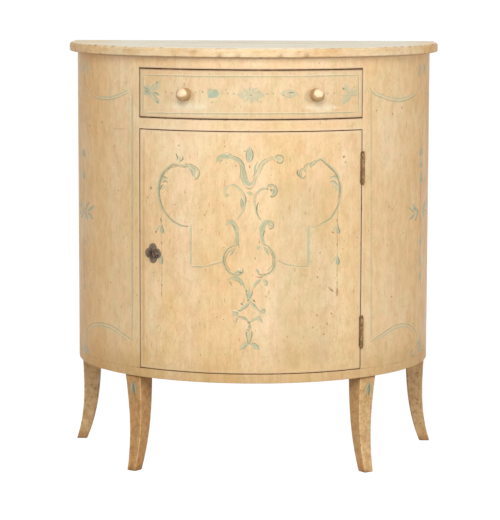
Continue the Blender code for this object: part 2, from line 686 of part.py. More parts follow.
def make_screw(name, x, y, z, direction, leaf, wood):
    """Make a countersunk screw along X, and bore its holes in leaf and wood."""
    head_depth = LEAF_THICKNESS - FIT_GAP
    profile = [(0.0, 0.0), (SCREW_HEAD_RADIUS, 0.0), (SCREW_SHANK_RADIUS, -head_depth),
               (SCREW_SHANK_RADIUS, -SCREW_LENGTH), (0.0, -SCREW_LENGTH - SCREW_SHANK_RADIUS)]
    matrix = Matrix.Translation((x, y, z)) @ Matrix.Rotation(-direction * pi / 2, 4, "Y")
    screw = turned(name, profile, STEEL, ROUND_SIDES // 2)
    screw.matrix_world = matrix @ Matrix.Translation((0, 0, -FIT_GAP))
    hole_profile = [(0.0, CUT_OVERRUN), (SCREW_HEAD_RADIUS + BORE_GAP, CUT_OVERRUN),
                    (SCREW_HEAD_RADIUS + BORE_GAP, 0.0),
                    (SCREW_SHANK_RADIUS + BORE_GAP, -LEAF_THICKNESS),
                    (SCREW_SHANK_RADIUS + BORE_GAP, -SCREW_LENGTH - SCREW_HEAD_RADIUS),
                    (0.0, -SCREW_LENGTH - SCREW_HEAD_RADIUS)]
    hole = turned(name + "_hole", hole_profile, STEEL, ROUND_SIDES // 2)
    hole.matrix_world = matrix
    make_cutter(hole)
    combine(leaf, hole, "DIFFERENCE")
    combine(wood, hole, "DIFFERENCE")
    return screw


def leaf_recess(name, low_x, high_x, height, wood):
    """Let a hinge leaf into the edge of the door or of the side panel."""
    front_y = bow_y(OPENING_HALF_WIDTH, BODY_RADIUS)
    recess = block(name, (low_x, front_y - CUT_OVERRUN, height - LEAF_HEIGHT / 2 - FIT_GAP),
                   (high_x, front_y + LEAF_WIDTH + 2 * FIT_GAP, height + LEAF_HEIGHT / 2 + FIT_GAP),
                   HINGE_IRON)
    combine(wood, make_cutter(recess), "DIFFERENCE")


def make_hinges(panel, door):
    """Make the two butt hinges, and return the pieces that swing with the door."""
    moving = []
    frame_x = OPENING_HALF_WIDTH
    door_x = LEAF_HALF_WIDTH
    front_y = bow_y(OPENING_HALF_WIDTH, BODY_RADIUS)
    axis_x, axis_y = hinge_axis()
    third = BARREL_LENGTH / 3
    for place, height in (("upper", DOOR_HIGH - UPPER_HINGE_FALL),
                          ("lower", DOOR_LOW + LOWER_HINGE_RISE)):
        low = height - BARREL_LENGTH / 2
        high = height + BARREL_LENGTH / 2
        frame_leaf = make_leaf("hinge_frame_leaf_" + place, frame_x, frame_x + LEAF_THICKNESS,
                               frame_x, frame_x + LEAF_THICKNESS,
                               ((low, low + third - FIT_GAP), (high - third + FIT_GAP, high)),
                               height)
        door_leaf = make_leaf("hinge_door_leaf_" + place, door_x - LEAF_THICKNESS, door_x,
                              door_x - LEAF_THICKNESS, door_x + LEAF_TAB_EXTRA,
                              ((low + third, high - third),), height)
        leaf_recess("frame_recess_" + place, frame_x - CUT_OVERRUN,
                    frame_x + LEAF_THICKNESS + FIT_GAP, height, panel)
        leaf_recess("door_recess_" + place, door_x - LEAF_THICKNESS - FIT_GAP,
                    door_x + CUT_OVERRUN, height, door)
        pin = turned("hinge_pin_" + place, pin_profile(), HINGE_IRON)
        pin.location = (axis_x, axis_y, height)
        moving.append(door_leaf)
        for level, shift in (("top", SCREW_SPREAD), ("bottom", -SCREW_SPREAD)):
            make_screw("frame_screw_%s_%s" % (place, level), frame_x,
                       front_y + FRAME_SCREW_INSET, height + shift, 1, frame_leaf, panel)
            moving.append(make_screw("door_screw_%s_%s" % (place, level), door_x,
                                     front_y + DOOR_SCREW_INSET, height + shift, -1,
                                     door_leaf, door))
    return moving


def quatrefoil_outline():
    """Return the outline of a plate with four round lobes, centred on zero."""
    lobe = ESCUTCHEON_WIDTH * ESCUTCHEON_LOBE_SHARE
    reach = ESCUTCHEON_WIDTH / 2 - lobe
    swing = pi / 4 + asin(min(1.0, reach / lobe / sqrt(2)))
    points = []
    for quarter in range(4):
        middle = quarter * pi / 2
        for index in range(ESCUTCHEON_LOBE_STEPS):
            angle = middle - swing + 2 * swing * (index + 0.5) / ESCUTCHEON_LOBE_STEPS
            x = reach * cos(middle) + lobe * cos(angle)
            y = reach * sin(middle) + lobe * sin(angle)
            points.append((x, y * ESCUTCHEON_HEIGHT / ESCUTCHEON_WIDTH))
    return points


def keyhole_cutters(name, matrix, low, high):
    """Return a round and a slot cutter that together make a keyhole."""
    eye = rod(name + "_eye", KEYHOLE_RADIUS, low, high, IRON, ROUND_SIDES // 2)
    eye.matrix_world = matrix
    half = KEYHOLE_SLOT_WIDTH / 2
    slot = block(name + "_slot", (-half, -KEYHOLE_SLOT_DROP, low), (half, 0, high), IRON)
    slot.matrix_world = matrix @ Matrix.Translation((0, -KEYHOLE_SLOT_DROP / 2, (low + high) / 2))
    return make_cutter(eye), make_cutter(slot)


def make_escutcheon(door, case):
    """Make the quatrefoil plate, and pierce it, the door and the lock for the key."""
    matrix = surface_frame(-ESCUTCHEON_X, BODY_RADIUS, LOCK_HEIGHT)
    shield = plate("escutcheon", quatrefoil_outline(), 0, ESCUTCHEON_THICKNESS, IRON)
    lift = FIT_GAP + ESCUTCHEON_THICKNESS / 2
    shield.matrix_world = matrix @ Matrix.Translation((0, 0, lift))
    reach = DOOR_THICKNESS + KEYHOLE_CASE_DEPTH
    for cutter in keyhole_cutters("keyhole", matrix, -reach, CUT_OVERRUN):
        for piece in (shield, door, case):
            combine(piece, cutter, "DIFFERENCE")
    return shield


def make_lock(door, post):
    """Make the lock case, its bolt and the keeper in the left front post."""
    half = LOCK_CASE_WIDTH / 2
    seat = DOOR_INNER_RADIUS - FIT_GAP
    turn = asin((LEAF_HALF_WIDTH - FIT_GAP) / seat) - asin(half / seat)
    face = sqrt(seat * seat - half * half)
    pivot = (0, WIDEST_Y, LOCK_HEIGHT)
    case = block("lock_case", (-half, -face, -LOCK_CASE_HEIGHT / 2),
                 (half, -face + LOCK_CASE_THICKNESS, LOCK_CASE_HEIGHT / 2), IRON, -turn, pivot)
    middle = -face + LOCK_CASE_THICKNESS / 2
    thick = BOLT_THICKNESS / 2
    tall = BOLT_HEIGHT / 2
    tip = -half - BOLT_PROUD
    bolt = block("lock_bolt", (tip, middle - thick, -tall), (tip + BOLT_LENGTH, middle + thick, tall),
                 STEEL, -turn, pivot)
    thick += SLIDE_GAP
    tall += SLIDE_GAP
    chase = block("lock_bolt_chase", (-half - CUT_OVERRUN, middle - thick, -tall),
                  (tip + BOLT_LENGTH + SLIDE_GAP, middle + thick, tall), STEEL, -turn, pivot)
    combine(case, make_cutter(chase), "DIFFERENCE")
    pocket = block("lock_bolt_pocket", (tip - BOLT_THROW - CUT_OVERRUN, middle - thick, -tall),
                   (tip, middle + thick, tall), STEEL, -turn, pivot)
    make_cutter(pocket)
    entry = (OPENING_HALF_WIDTH + middle * sin(turn)) / cos(turn)
    entry_y = WIDEST_Y + middle * cos(turn) + entry * sin(turn)
    low = (-OPENING_HALF_WIDTH - KEEPER_THICKNESS, entry_y - KEEPER_WIDTH / 2,
           LOCK_HEIGHT - KEEPER_HEIGHT / 2)
    high = (-OPENING_HALF_WIDTH, entry_y + KEEPER_WIDTH / 2, LOCK_HEIGHT + KEEPER_HEIGHT / 2)
    keeper = block("lock_keeper", low, high, IRON)
    seat_low = Vector(low) - Vector((FIT_GAP, FIT_GAP, FIT_GAP))
    seat_high = Vector(high) + Vector((CUT_OVERRUN, FIT_GAP, FIT_GAP))
    recess = block("keeper_recess", seat_low, seat_high, IRON)
    combine(post, make_cutter(recess), "DIFFERENCE")
    combine(post, pocket, "DIFFERENCE")
    combine(keeper, pocket, "DIFFERENCE")
    return case, bolt


def make_door(panels, posts):
    """Make the door with its battens, hinges and lock, and the stop it shuts on."""
    door = plate("door_panel",
                 band_outline(BODY_RADIUS, DOOR_THICKNESS, -LEAF_HALF_WIDTH, LEAF_HALF_WIDTH),
                 DOOR_LOW, DOOR_HIGH, PAINT)
    pieces = [door]
    inset = (DOOR_HIGH - DOOR_LOW) * BATTEN_END_SHARE
    for place, middle in (("top", DOOR_HIGH - inset), ("bottom", DOOR_LOW + inset)):
        outline = band_outline(DOOR_INNER_RADIUS - FIT_GAP, BATTEN_THICKNESS,
                               -BATTEN_HALF_LENGTH, BATTEN_HALF_LENGTH)
        pieces.append(plate("door_batten_" + place, outline, middle - BATTEN_HEIGHT / 2,
                            middle + BATTEN_HEIGHT / 2, RAW_PINE))
    pieces += make_hinges(panels["right"], door)
    case, bolt = make_lock(door, posts["left"])
    pieces += [case, bolt, make_escutcheon(door, case)]
    axis_x, axis_y = hinge_axis()
    hang_on(empty_at("door_hinge_axis", (axis_x, axis_y, DOOR_LOW)), pieces)
    outline = band_outline(DOOR_INNER_RADIUS - FIT_GAP, DOOR_STOP_SIZE, -DOOR_STOP_INNER_X,
                           DOOR_STOP_INNER_X)
    plate("door_stop", outline, BLADE_LOW - FIT_GAP - DOOR_STOP_HEIGHT, BLADE_LOW - FIT_GAP,
          RAW_PINE)


def main():
    """Build the whole cabinet."""
    bottom = make_boards()
    panels, posts = make_sides()
    make_front_rails()
    make_drawer_slides()
    make_shelf()
    make_legs(bottom)
    make_drawer()
    make_door(panels, posts)


main()
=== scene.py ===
"""Demilune cabinet: painted boards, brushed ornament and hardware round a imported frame.

Lengths are metres, +Z is up and the front faces -Y. The front is part of an upright
cylinder, so a place on it is an angle round that cylinder and a height. Left and right
are as seen by a person who stands in front of the cabinet.
"""

from math import acos, asin, atan2, ceil, cos, exp, hypot, pi, radians, sin, sqrt

import bmesh
import bpy
from bpy.props import FloatProperty, FloatVectorProperty, PointerProperty
from mathutils import Matrix, Vector, noise


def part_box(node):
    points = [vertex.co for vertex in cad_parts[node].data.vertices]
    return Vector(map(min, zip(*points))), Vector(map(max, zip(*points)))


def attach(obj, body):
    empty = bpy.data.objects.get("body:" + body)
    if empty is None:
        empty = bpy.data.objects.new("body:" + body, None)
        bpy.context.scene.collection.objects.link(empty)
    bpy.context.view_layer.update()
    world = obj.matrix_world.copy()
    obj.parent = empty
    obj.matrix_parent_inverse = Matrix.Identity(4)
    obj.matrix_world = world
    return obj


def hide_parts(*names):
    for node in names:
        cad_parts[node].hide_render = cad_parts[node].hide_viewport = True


bl_info = {
    "name": "Demilune Cabinet",
    "version": (1, 0),
    "blender": (4, 5, 0),
    "location": "3D View > Sidebar > Cabinet",
    "description": "Models the painted surfaces of a half-round cabinet round its frame",
    "category": "Add Mesh",
}

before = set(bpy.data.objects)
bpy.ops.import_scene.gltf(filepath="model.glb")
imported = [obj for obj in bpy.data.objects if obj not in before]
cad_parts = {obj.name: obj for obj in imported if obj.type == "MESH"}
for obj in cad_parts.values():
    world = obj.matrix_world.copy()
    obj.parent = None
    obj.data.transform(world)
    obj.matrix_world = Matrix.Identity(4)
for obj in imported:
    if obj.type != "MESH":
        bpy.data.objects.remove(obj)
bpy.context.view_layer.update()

# Places read from the frame
TOP_LOW, TOP_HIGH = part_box("top_board")
BASE_LOW, BASE_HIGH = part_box("bottom_board")
PANEL_LOW, PANEL_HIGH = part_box("side_panel_right")
RAIL_LOW, RAIL_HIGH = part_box("top_rail")
BLADE_LOW, BLADE_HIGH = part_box("drawer_blade")
DRAWER_LOW, DRAWER_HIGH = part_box("drawer_front")
DOOR_LOW, DOOR_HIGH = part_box("door_panel")
POST_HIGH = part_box("rear_post_right")[1]
BODY_RADIUS = PANEL_HIGH.x
TOP_RADIUS = TOP_HIGH.x
AXIS_Y = TOP_LOW.y + TOP_RADIUS
BACK_Y = TOP_HIGH.y
FIT_GAP = 0.0003
PANEL_THICKNESS = BODY_RADIUS - POST_HIGH.x - FIT_GAP

# Shapes that the frame's boxes do not give
KNOB_X = 0.1405
KNOB_COLLAR_RADIUS = 0.0135
KNOB_COLLAR_HEIGHT = 0.0025
KNOB_NECK_RADIUS = 0.0088
KNOB_NECK_HEIGHT = 0.0095
KNOB_HEAD_RADIUS = 0.0145
KNOB_HEAD_HEIGHT = 0.0150
KNOB_SEAT_LIFT = 0.0004
LEG_TOP_WIDTH = 0.0435
LEG_FOOT_WIDTH = 0.0240
LEG_KICK_POWER = 3.2
LEG_ROWS = 28
FRONT_LEG_TURN = radians(36.0)
FRONT_LEG_PLACE = (0.2498, -0.1160)
FRONT_LEG_KICK = 0.017
FRONT_LEG_SWAY = 0.005
REAR_LEG_PLACE = (0.38475, 0.2304)
REAR_LEG_KICK = 0.025
REAR_LEG_SWAY = 0.001

# The photograph's camera
PHOTO_WIDTH = 500
PHOTO_HEIGHT = 520
FOCAL_PIXELS = 2344.4
SENSOR_WIDTH = 36.0
CAMERA_PLACE = Vector((0.0993, -5.2922, 1.1313))
CAMERA_PITCH = radians(7.225)
CAMERA_YAW = radians(1.117)
CAMERA_ROLL = radians(0.160)

# Hardware that the frame's boxes do not give
FRONT_THICKNESS = 0.020
LEAF_THICKNESS = 0.0018
PIN_RADIUS = 0.0019
FINIAL_RADIUS = 0.0036
FINIAL_NECK_RADIUS = 0.0026
FINIAL_HEIGHT = 0.0052
FINIAL_SHARES = ((0.0, 1.0), (0.22, 0.975), (0.42, 0.90), (0.66, 0.80), (0.88, 0.66),
                 (1.0, 0.50), (0.92, 0.38), (0.74, 0.28))
LOCK_HEIGHT = 0.4966
ESCUTCHEON_X = -0.2137
ESCUTCHEON_WIDTH = 0.042
ESCUTCHEON_HEIGHT = 0.044
ESCUTCHEON_THICKNESS = 0.0016
ESCUTCHEON_LOBE_SHARE = 0.245
KEYHOLE_RADIUS = 0.0024
KEYHOLE_SLOT_WIDTH = 0.0026
KEYHOLE_SLOT_DROP = 0.0080

# Studio
FLOOR_RADIUS = 90.0
FLOOR_SEGMENTS = 96
FLOOR_TONES = ((0.56, 0.56, 0.56), (0.60, 0.60, 0.60))
FLOOR_WAVE = (0.8, 0.8, 0.8)
FLOOR_GLOW = 0.80
FLOOR_GLOW_STRENGTH = 1.24
CAMERA_REACH = 300.0
LAMP_AIM_SHARE = 0.6
SKY_LIGHT = 0.36
LAMPS = (("left_lamp", (-2.6, -3.2, 1.5), 0.9, 24.5),
         ("right_lamp", (3.1, -2.9, 1.5), 0.9, 44.5),
         ("front_lamp", (0.0, -3.4, 2.6), 1.8, 76.0))

# Finish that the frame does not set
SMALL = 1e-6
JOINT = 0.0005
DRAWER_LIP = 0.0010
DOOR_LIP = 0.0004
DOOR_FREE_LIP = 0.0006
# Darkening beside the gaps, dirt and painted shade: a dark line in a wide stain
GAP_DARK_LINE = 0.0006
WIDE_STAIN = 0.38
WIDE_STAIN_REACH = 0.006
# Painted shade: the paint browns towards the sides, which turn from the lamps
SHADE_CENTRE = 0.02
SHADE_START = 0.30
SHADE_END = 0.385
SIDE_PAINTED_SHADE = (0.985, 0.857, 0.660)
# Painted shade: darker towards the bottom of the body and the bottom board, more at the foot of the
# sides
LOW_PAINTED_SHADE = (0.90, 0.86, 0.77)
LOW_SHADE_REACH = 0.105
SIDE_FOOT_PAINTED_SHADE = (0.92, 0.895, 0.84)
SIDE_FOOT_REACH = 0.045
# Painted shade on two patches of the door: left, right, low, high and the shade, in metres
DOOR_PAINTED_SHADES = ((0.030, 0.205, 0.235, 0.690, (0.875, 0.875, 0.850)),
              (-0.225, -0.120, 0.235, 0.440, (1.0, 0.945, 0.820)))
PAINTED_SHADE_FADE = 0.05
# Painted shade of the legs' faces that look at each other
INNER_LEG_PAINTED_SHADE = (0.84, 0.73, 0.59)
HARD_ANGLE = radians(38.0)
FLAT_ANGLE = radians(1.0)
EASED_EDGE = 0.0007
PLANE_WAVE = Vector((11.0, 0.0, 7.0))
CHIP_WAVE = 85.0
PIXEL_SIZE = 0.00217
STROKE_STEP = 0.0026
STROKE_FACES_ACROSS = 8
STROKE_CROWN = 0.00010
STROKE_SINK = 0.00004
STROKE_THICKNESS = 0.00035
HAND_DRIFT = 0.0007
LAYER_LIFT = 0.000008
LAYERS = 9
GROUND_DROP = 0.00002
GROUNDS = ("ground", "painted_glare", "wash")
SPOT_SPREAD = 1.3
SIDE_MARGIN = 0.026
TREMBLE = 0.30
TREMBLE_WAVE = 60
TREMBLE_SEED = 3.7
DRIFT_WAVE = 95
DRIFT_SEED = 5.3
STRAIGHT_STEP = STROKE_STEP * 4
FEWEST_STEPS = 6
CURVE_STEPS = 12

# Relief of the finishes: depth in metres and strength
PAINT_RELIEF = (0.0006, 0.35)
PINE_RELIEF = (0.0005, 0.4)
METAL_RELIEF = (0.0003, 0.5)
GILT_RELIEF = (0.0004, 0.4)

# Shine of old paint, and white
PAINT_SHINE = 0.22
WHITE = (1.0, 1.0, 1.0)

# Boards: steps and depths in metres, and waves to a metre
EDGE_STEPS = (0.0028, 0.0050, 0.0085)
RING_STEPS = (0.004, 0.008, 0.020)
RETURN_STEPS = 8
SECTION_CORNERS = 8
UPPER_RIM_STEPS = 5
LOWER_RIM_STEPS = 3
PAINTED_SHARE = 0.4
CLOSED_GAP = FIT_GAP * 0.9
CHIPPED_DEPTH = 0.003
CHIP_REACH = 0.0022
TOP_LOW_ROUNDING = 0.003
TOP_PAINT_DROP = 0.0012
BASE_ROUNDINGS = (0.0006, 0.0016)
RIM_WEAR_REACH = 0.012
RIM_LINE_INWARD = 0.0025
RIM_LINE_SPREAD = 0.0016
RIM_SIDE_ARC = 0.42
RIM_BAND = 0.010
RIM_CHIP_DEPTH = 0.0007
RIM_SAG_DEPTH = 0.0006
RIM_BLOTCH_REACH = 0.006
# Painted shadow along the low edge of the rim
RIM_UNDER_SHADOW = 0.35
RIM_SHADOW_REACH = 0.0012
FLAT_DROP = 0.001
FLAT_HOLLOW = 0.0003
ROUGH_WAVE = 28.0
ROUGH_WAVE_UP = 60.0
PATCH_WAVE = 9.0
BREAK_WAVE = 75.0
BLOTCH_WAVE = 64.0
BLOTCH_WAVE_UP = 110.0
SAG_WAVE = 17.0

# Legs: reaches in metres, and waves to a metre
LEG_CUTS = (-0.30, -0.12, 0.12, 0.30)
LEG_WEAR_REACH = 0.0045
LEG_CHIP_REACH = 0.003
LEG_JOINT_DIRT = 0.9
LEG_JOINT_REACH = 0.003
FOOT_DIRT_REACH = 0.014
SMUDGE_WAVE = 45.0

# Hardware: segments, and depths in metres
KNOB_SEGMENTS = 48
KNOB_HEAD_STEPS = 22
KNOB_DENT = 0.0004
KNOB_DENT_WAVE = 120.0
# Way of the pale face of a knob: rubbed gilt at the front, and painted light from above
KNOB_RUBBED_AND_LIT_WAY = (0.0, 0.34, 0.94)
LOBE_STEPS = 14
PLATE_BASE_SHARE = 0.8
PLATE_WAVE = 110.0
PLATE_PROFILE = ((0.0004, 0.2), (0.0010, 0.0), (0.0006, -0.30), (0.0030, 0.10))
PIN_SEGMENTS = 24
SCREW_SEGMENTS = 20
SCREW_SHANK_SHARE = 0.45
SCREW_FLAT_SHARE = 0.9
SCREW_EDGE_DROP = 0.0002
SCREW_HEAD_DEPTH = 0.0015
SCREW_SLOT_SHARE = 1.1
SCREW_SLOT_HALF = 0.0004
SCREW_SLOT_DEPTH = 0.0007
SCREW_SLOT_RISE = 0.001
SCREW_TURN = 35.0
KEYHOLE_SEGMENTS = 24
KEYHOLE_CLEARANCE = 0.004
KEYHOLE_DEPTH = 0.04
RECESS_CLEARANCE = 0.004
RECESS_OVERLAP = 0.002
LEAF_EASING = 0.0002
LOCK_EASING = 0.0008
BOLT_EASING = 0.0006

# Kinds of socket of a node group
COLOUR = "NodeSocketColor"
NUMBER = "NodeSocketFloat"
PLACE = "NodeSocketVector"


def screen_colour(red, green, blue):
    """Return the linear colour of three screen values from 0 to 255."""
    shares = [value / 255 for value in (red, green, blue)]
    return tuple(share / 12.92 if share <= 0.04045 else ((share + 0.055) / 1.055) ** 2.4
                 for share in shares)


def size_property(name, description, default):
    """Return a length that a user can change."""
    return FloatProperty(name=name, description=description, default=default, min=0.0,
                         unit="LENGTH", precision=5)


def colour_property(name, description, red, green, blue):
    """Return a colour that a user can change, given in screen values."""
    return FloatVectorProperty(name=name, description=description, subtype="COLOR", size=3,
                               min=0.0, max=1.0, default=screen_colour(red, green, blue))


class CabinetSizes(bpy.types.PropertyGroup):
    """Sizes of the finish."""

    facet: size_property("Facet", "Length of one facet along the bow", 0.006)
    row: size_property("Row", "Height of one row of faces on a board", 0.014)
    board_rounding: size_property("Board rounding", "Radius of a board's eased edges", 0.0015)
    top_rounding: size_property("Top rounding", "Radius of the worn edges of the top", 0.0068)
    leg_rounding: size_property("Leg rounding", "Radius of the arrises of the legs", 0.0022)
    plane_depth: size_property("Plane marks", "Depth of the hollows left by hand planing", 0.0003)
    chip_depth: size_property("Chips", "Depth of the chips along the arrises", 0.0007)
    wear_reach: size_property("Wear reach", "How far rubbed paint reaches from an arris", 0.0075)
    # Reach of the dirt and painted shade beside a gap
    grime_and_shade_reach: size_property("Grime reach", "How far dirt reaches from a gap", 0.0024)


class CabinetColours(bpy.types.PropertyGroup):
    """Colours of the finish."""

    paint: colour_property("Paint", "Cream paint under old varnish", 238, 210, 171)
    pale: colour_property("Pale paint", "Paint where the varnish is thin", 243, 221, 189)
    ochre: colour_property("Ochre paint", "Paint where the varnish is thick", 234, 202, 158)
    drawer_paint: colour_property("Drawer paint", "Paint of the drawer front", 229, 203, 166)
    drawer_pale: colour_property("Drawer pale paint", "Rubbed paint of the drawer", 236, 216, 184)
    drawer_ochre: colour_property("Drawer ochre paint", "Varnish of the drawer", 228, 198, 154)
    # The legs' paint is darker than the body's: browned paint, and painted shade under the body
    leg_paint: colour_property("Leg paint", "Browned paint of the legs", 212, 177, 130)
    leg_pale: colour_property("Leg pale paint", "Rubbed paint of the legs", 226, 194, 148)
    leg_ochre: colour_property("Leg ochre paint", "Dark varnish of the legs", 192, 151, 102)
    base_paint: colour_property("Base paint", "Browned paint of the bottom board", 230, 200, 159)
    base_pale: colour_property("Base pale paint", "Rubbed paint of the bottom", 235, 210, 174)
    base_ochre: colour_property("Base ochre paint", "Dark varnish of the bottom", 223, 190, 145)
    # The top's paint is paler than the body's: whiter paint, and painted light on its upward face
    top_paint: colour_property("Top paint", "Paint of the top board", 255, 249, 229)
    top_pale: colour_property("Top pale paint", "Rubbed paint of the top board", 255, 253, 240)
    top_ochre: colour_property("Top ochre paint", "Stained paint of the top", 250, 238, 210)
    rim_paint: colour_property("Rim paint", "Varnished rim of the top board", 232, 202, 156)
    rim_pale: colour_property("Rim pale paint", "Rubbed rim of the top board", 248, 234, 206)
    rim_ochre: colour_property("Rim ochre paint", "Brown varnish of the rim", 212, 164, 100)
    bare_wood: colour_property("Bare wood", "Wood where the paint is gone", 148, 98, 56)
    # Dark colour of the dirt, which also paints the shade in the gaps and under the top
    grime_and_shade: colour_property("Grime and shade", "Dirt in the gaps", 118, 74, 34)
    ink_dark: colour_property("Dark brush colour", "Outlines of the ornament", 122, 128, 102)
    ink_mid: colour_property("Middle brush colour", "Lines of the ornament", 158, 168, 138)
    ink_pale: colour_property("Pale brush colour", "Fill of the ornament", 184, 190, 157)
    ink_light: colour_property("Light brush colour", "Highlights of the ornament", 240, 230, 200)
    ink_grey: colour_property("Thin lines", "Browned lines of the ornament", 166, 156, 122)
    ink_blue: colour_property("Blue brush colour", "Small flowers of the ornament", 174, 186, 162)
    ink_teal: colour_property("Teal brush colour", "Tulip of the drawer", 160, 184, 160)
    ink_ochre: colour_property("Varnish stain", "Old varnish beside the door", 196, 146, 78)
    pine_light: colour_property("Light pine", "Early wood of the boards inside", 190, 148, 98)
    pine_dark: colour_property("Dark pine", "Late wood of the boards inside", 138, 94, 54)
    # The dark gilt also paints the shade under the knobs
    gilt_light: colour_property("Light gilt", "Rubbed gilt of the knobs", 238, 212, 174)
    gilt_dark: colour_property("Dark gilt", "Worn gilt of the knobs", 182, 146, 100)
    iron_light: colour_property("Light iron", "Rubbed iron", 126, 108, 90)
    iron_dark: colour_property("Dark iron", "Dark old iron", 44, 33, 24)
    hinge_light: colour_property("Light hinge iron", "Rubbed iron of the hinges", 190, 160, 118)
    hinge_dark: colour_property("Dark hinge iron", "Browned iron of the hinges", 130, 100, 65)
    steel_light: colour_property("Light steel", "Rubbed steel", 168, 160, 150)
    steel_dark: colour_property("Dark steel", "Dull steel", 104, 96, 88)


def sizes():
    """Return the sizes that a user can change."""
    return bpy.context.scene.cabinet_sizes


def colours():
    """Return the colours that a user can change."""
    return bpy.context.scene.cabinet_colours


def noise_at(x, y, z):
    """Return a smooth noise from -1 to 1."""
    return noise.noise(Vector((x, y, z)))


def planed(arc, height):
    """Return how far a hand plane went below the true surface at a place."""
    hollow = noise_at(arc * PLANE_WAVE.x, PLANE_WAVE.y, height * PLANE_WAVE.z)
    return -sizes().plane_depth * (0.5 + 0.5 * hollow)


def bow_y(x, radius=BODY_RADIUS):
    """Return how far forward an upright cylinder lies at x."""
    return AXIS_Y - sqrt(max(radius * radius - x * x, 0.0))


def bow_angle(x, radius):
    """Return the angle round the cylinder at which it reaches x."""
    return asin(max(-1.0, min(1.0, x / radius)))


def on_bow(arc, height, lift=0.0):
    """Return the point of the painted front at an arc length and a height."""
    angle = arc / BODY_RADIUS
    reach = BODY_RADIUS + planed(arc, height) + lift
    return Vector((reach * sin(angle), AXIS_Y - reach * cos(angle), height))


def bow_place(point):
    """Return arc length, distance from the middle of the board's bend and outward way."""
    if point.y > AXIS_Y:
        side = 1.0 if point.x > 0 else -1.0
        arc = side * (BODY_RADIUS * pi / 2 + point.y - AXIS_Y)
        return arc, abs(point.x), Vector((side, 0.0, 0.0))
    reach = hypot(point.x, point.y - AXIS_Y)
    angle = atan2(point.x, AXIS_Y - point.y)
    return angle * BODY_RADIUS, reach, Vector((sin(angle), -cos(angle), 0.0))


def surface_matrix(x, height):
    """Return a matrix on the front whose +Z points out of it and whose +Y points up."""
    angle = bow_angle(x, BODY_RADIUS)
    outward = Vector((sin(angle), -cos(angle), 0.0))
    upward = Vector((0.0, 0.0, 1.0))
    matrix = Matrix((upward.cross(outward), upward, outward)).transposed().to_4x4()
    matrix.translation = (x, bow_y(x), height)
    return matrix


class NodeBench:
    """Adds nodes to one tree and wires them together."""

    def __init__(self, tree):
        self.tree = tree

    def feed(self, socket, value):
        """Give a socket a value, or a link where the value is another socket."""
        if isinstance(value, bpy.types.NodeSocket):
            self.tree.links.new(value, socket)
        elif socket.type == "RGBA" and len(value) == 3:
            socket.default_value = (*value, 1.0)
        else:
            socket.default_value = value

    def add(self, kind, inputs=None, **settings):
        """Add a node with its settings and its inputs."""
        node = self.tree.nodes.new(kind)
        for name, value in settings.items():
            setattr(node, name, value)
        for name, value in (inputs or {}).items():
            self.feed(node.inputs[name], value)
        return node

    def stretched(self, place, scale, shift=(0.0, 0.0, 0.0)):
        """Return a place with its own scale along each axis."""
        inputs = {"Vector": place, "Scale": scale, "Location": shift}
        return self.add("ShaderNodeMapping", inputs).outputs["Vector"]

    def noise(self, place, scale, detail=2.0, rough=0.5, distortion=0.0):
        """Return a noise from 0 to 1, with its frequency along each axis."""
        inputs = {"Vector": self.stretched(place, scale), "Scale": 1.0, "Detail": detail,
                  "Roughness": rough, "Distortion": distortion}
        return self.add("ShaderNodeTexNoise", inputs).outputs["Fac"]

    def cells(self, place, scale, feature="F1"):
        """Return a node of cells, with their frequency along each axis."""
        inputs = {"Vector": self.stretched(place, scale), "Scale": 1.0}
        return self.add("ShaderNodeTexVoronoi", inputs, feature=feature)

    def band(self, value, low, high, first=0.0, last=1.0):
        """Return a smooth step from first to last as a value goes from low to high."""
        inputs = {"Value": value, "From Min": low, "From Max": high, "To Min": first,
                  "To Max": last}
        node = self.add("ShaderNodeMapRange", inputs, interpolation_type="SMOOTHSTEP")
        return node.outputs["Result"]

    def maths(self, operation, first, second=0.0):
        """Return one sum of two values."""
        node = self.add("ShaderNodeMath", operation=operation)
        self.feed(node.inputs[0], first)
        self.feed(node.inputs[1], second)
        return node.outputs[0]

    def mix(self, share, first, second, mode="MIX"):
        """Return two colours mixed by a share."""
        node = self.add("ShaderNodeMix", data_type="RGBA", blend_type=mode)
        self.feed(node.inputs[0], share)
        self.feed(node.inputs[6], first)
        self.feed(node.inputs[7], second)
        return node.outputs[2]

    def shaded(self, tone, share, first, last):
        """Return a tone times a shade that goes from first to last with a share."""
        return self.mix(1.0, tone, self.mix(share, first, last), "MULTIPLY")

    def window(self, value, low, high, fade):
        """Return 1 where a value lies between two others, with a soft fade inside each."""
        return self.maths("MULTIPLY", self.band(value, low, low + fade),
                          self.band(value, high - fade, high, 1.0, 0.0))

    def parts(self, vector):
        """Return the three numbers of a vector."""
        return self.add("ShaderNodeSeparateXYZ", {"Vector": vector}).outputs

    def dots(self, place, scale, size, share):
        """Return a mask of scattered round dots on a share of the cells."""
        cells = self.cells(place, scale)
        chosen = self.add("ShaderNodeSeparateColor", {"Color": cells.outputs["Color"]})
        gate = self.band(chosen.outputs["Red"], 1.0 - share, 1.0 - share + 0.01)
        inner = self.band(cells.outputs["Distance"], size * 0.5, size, 1.0, 0.0)
        return self.maths("MULTIPLY", gate, inner)


def new_group(name, inputs, outputs):
    """Return the bench of a new node group, its inputs and its outputs."""
    tree = bpy.data.node_groups.new(name, "ShaderNodeTree")
    for label, kind, value in inputs:
        item = tree.interface.new_socket(name=label, in_out="INPUT", socket_type=kind)
        if value is not None:
            item.default_value = value
    for label, kind in outputs:
        tree.interface.new_socket(name=label, in_out="OUTPUT", socket_type=kind)
    entry = tree.nodes.new("NodeGroupInput").outputs
    leave = tree.nodes.new("NodeGroupOutput").inputs
    return NodeBench(tree), entry, leave


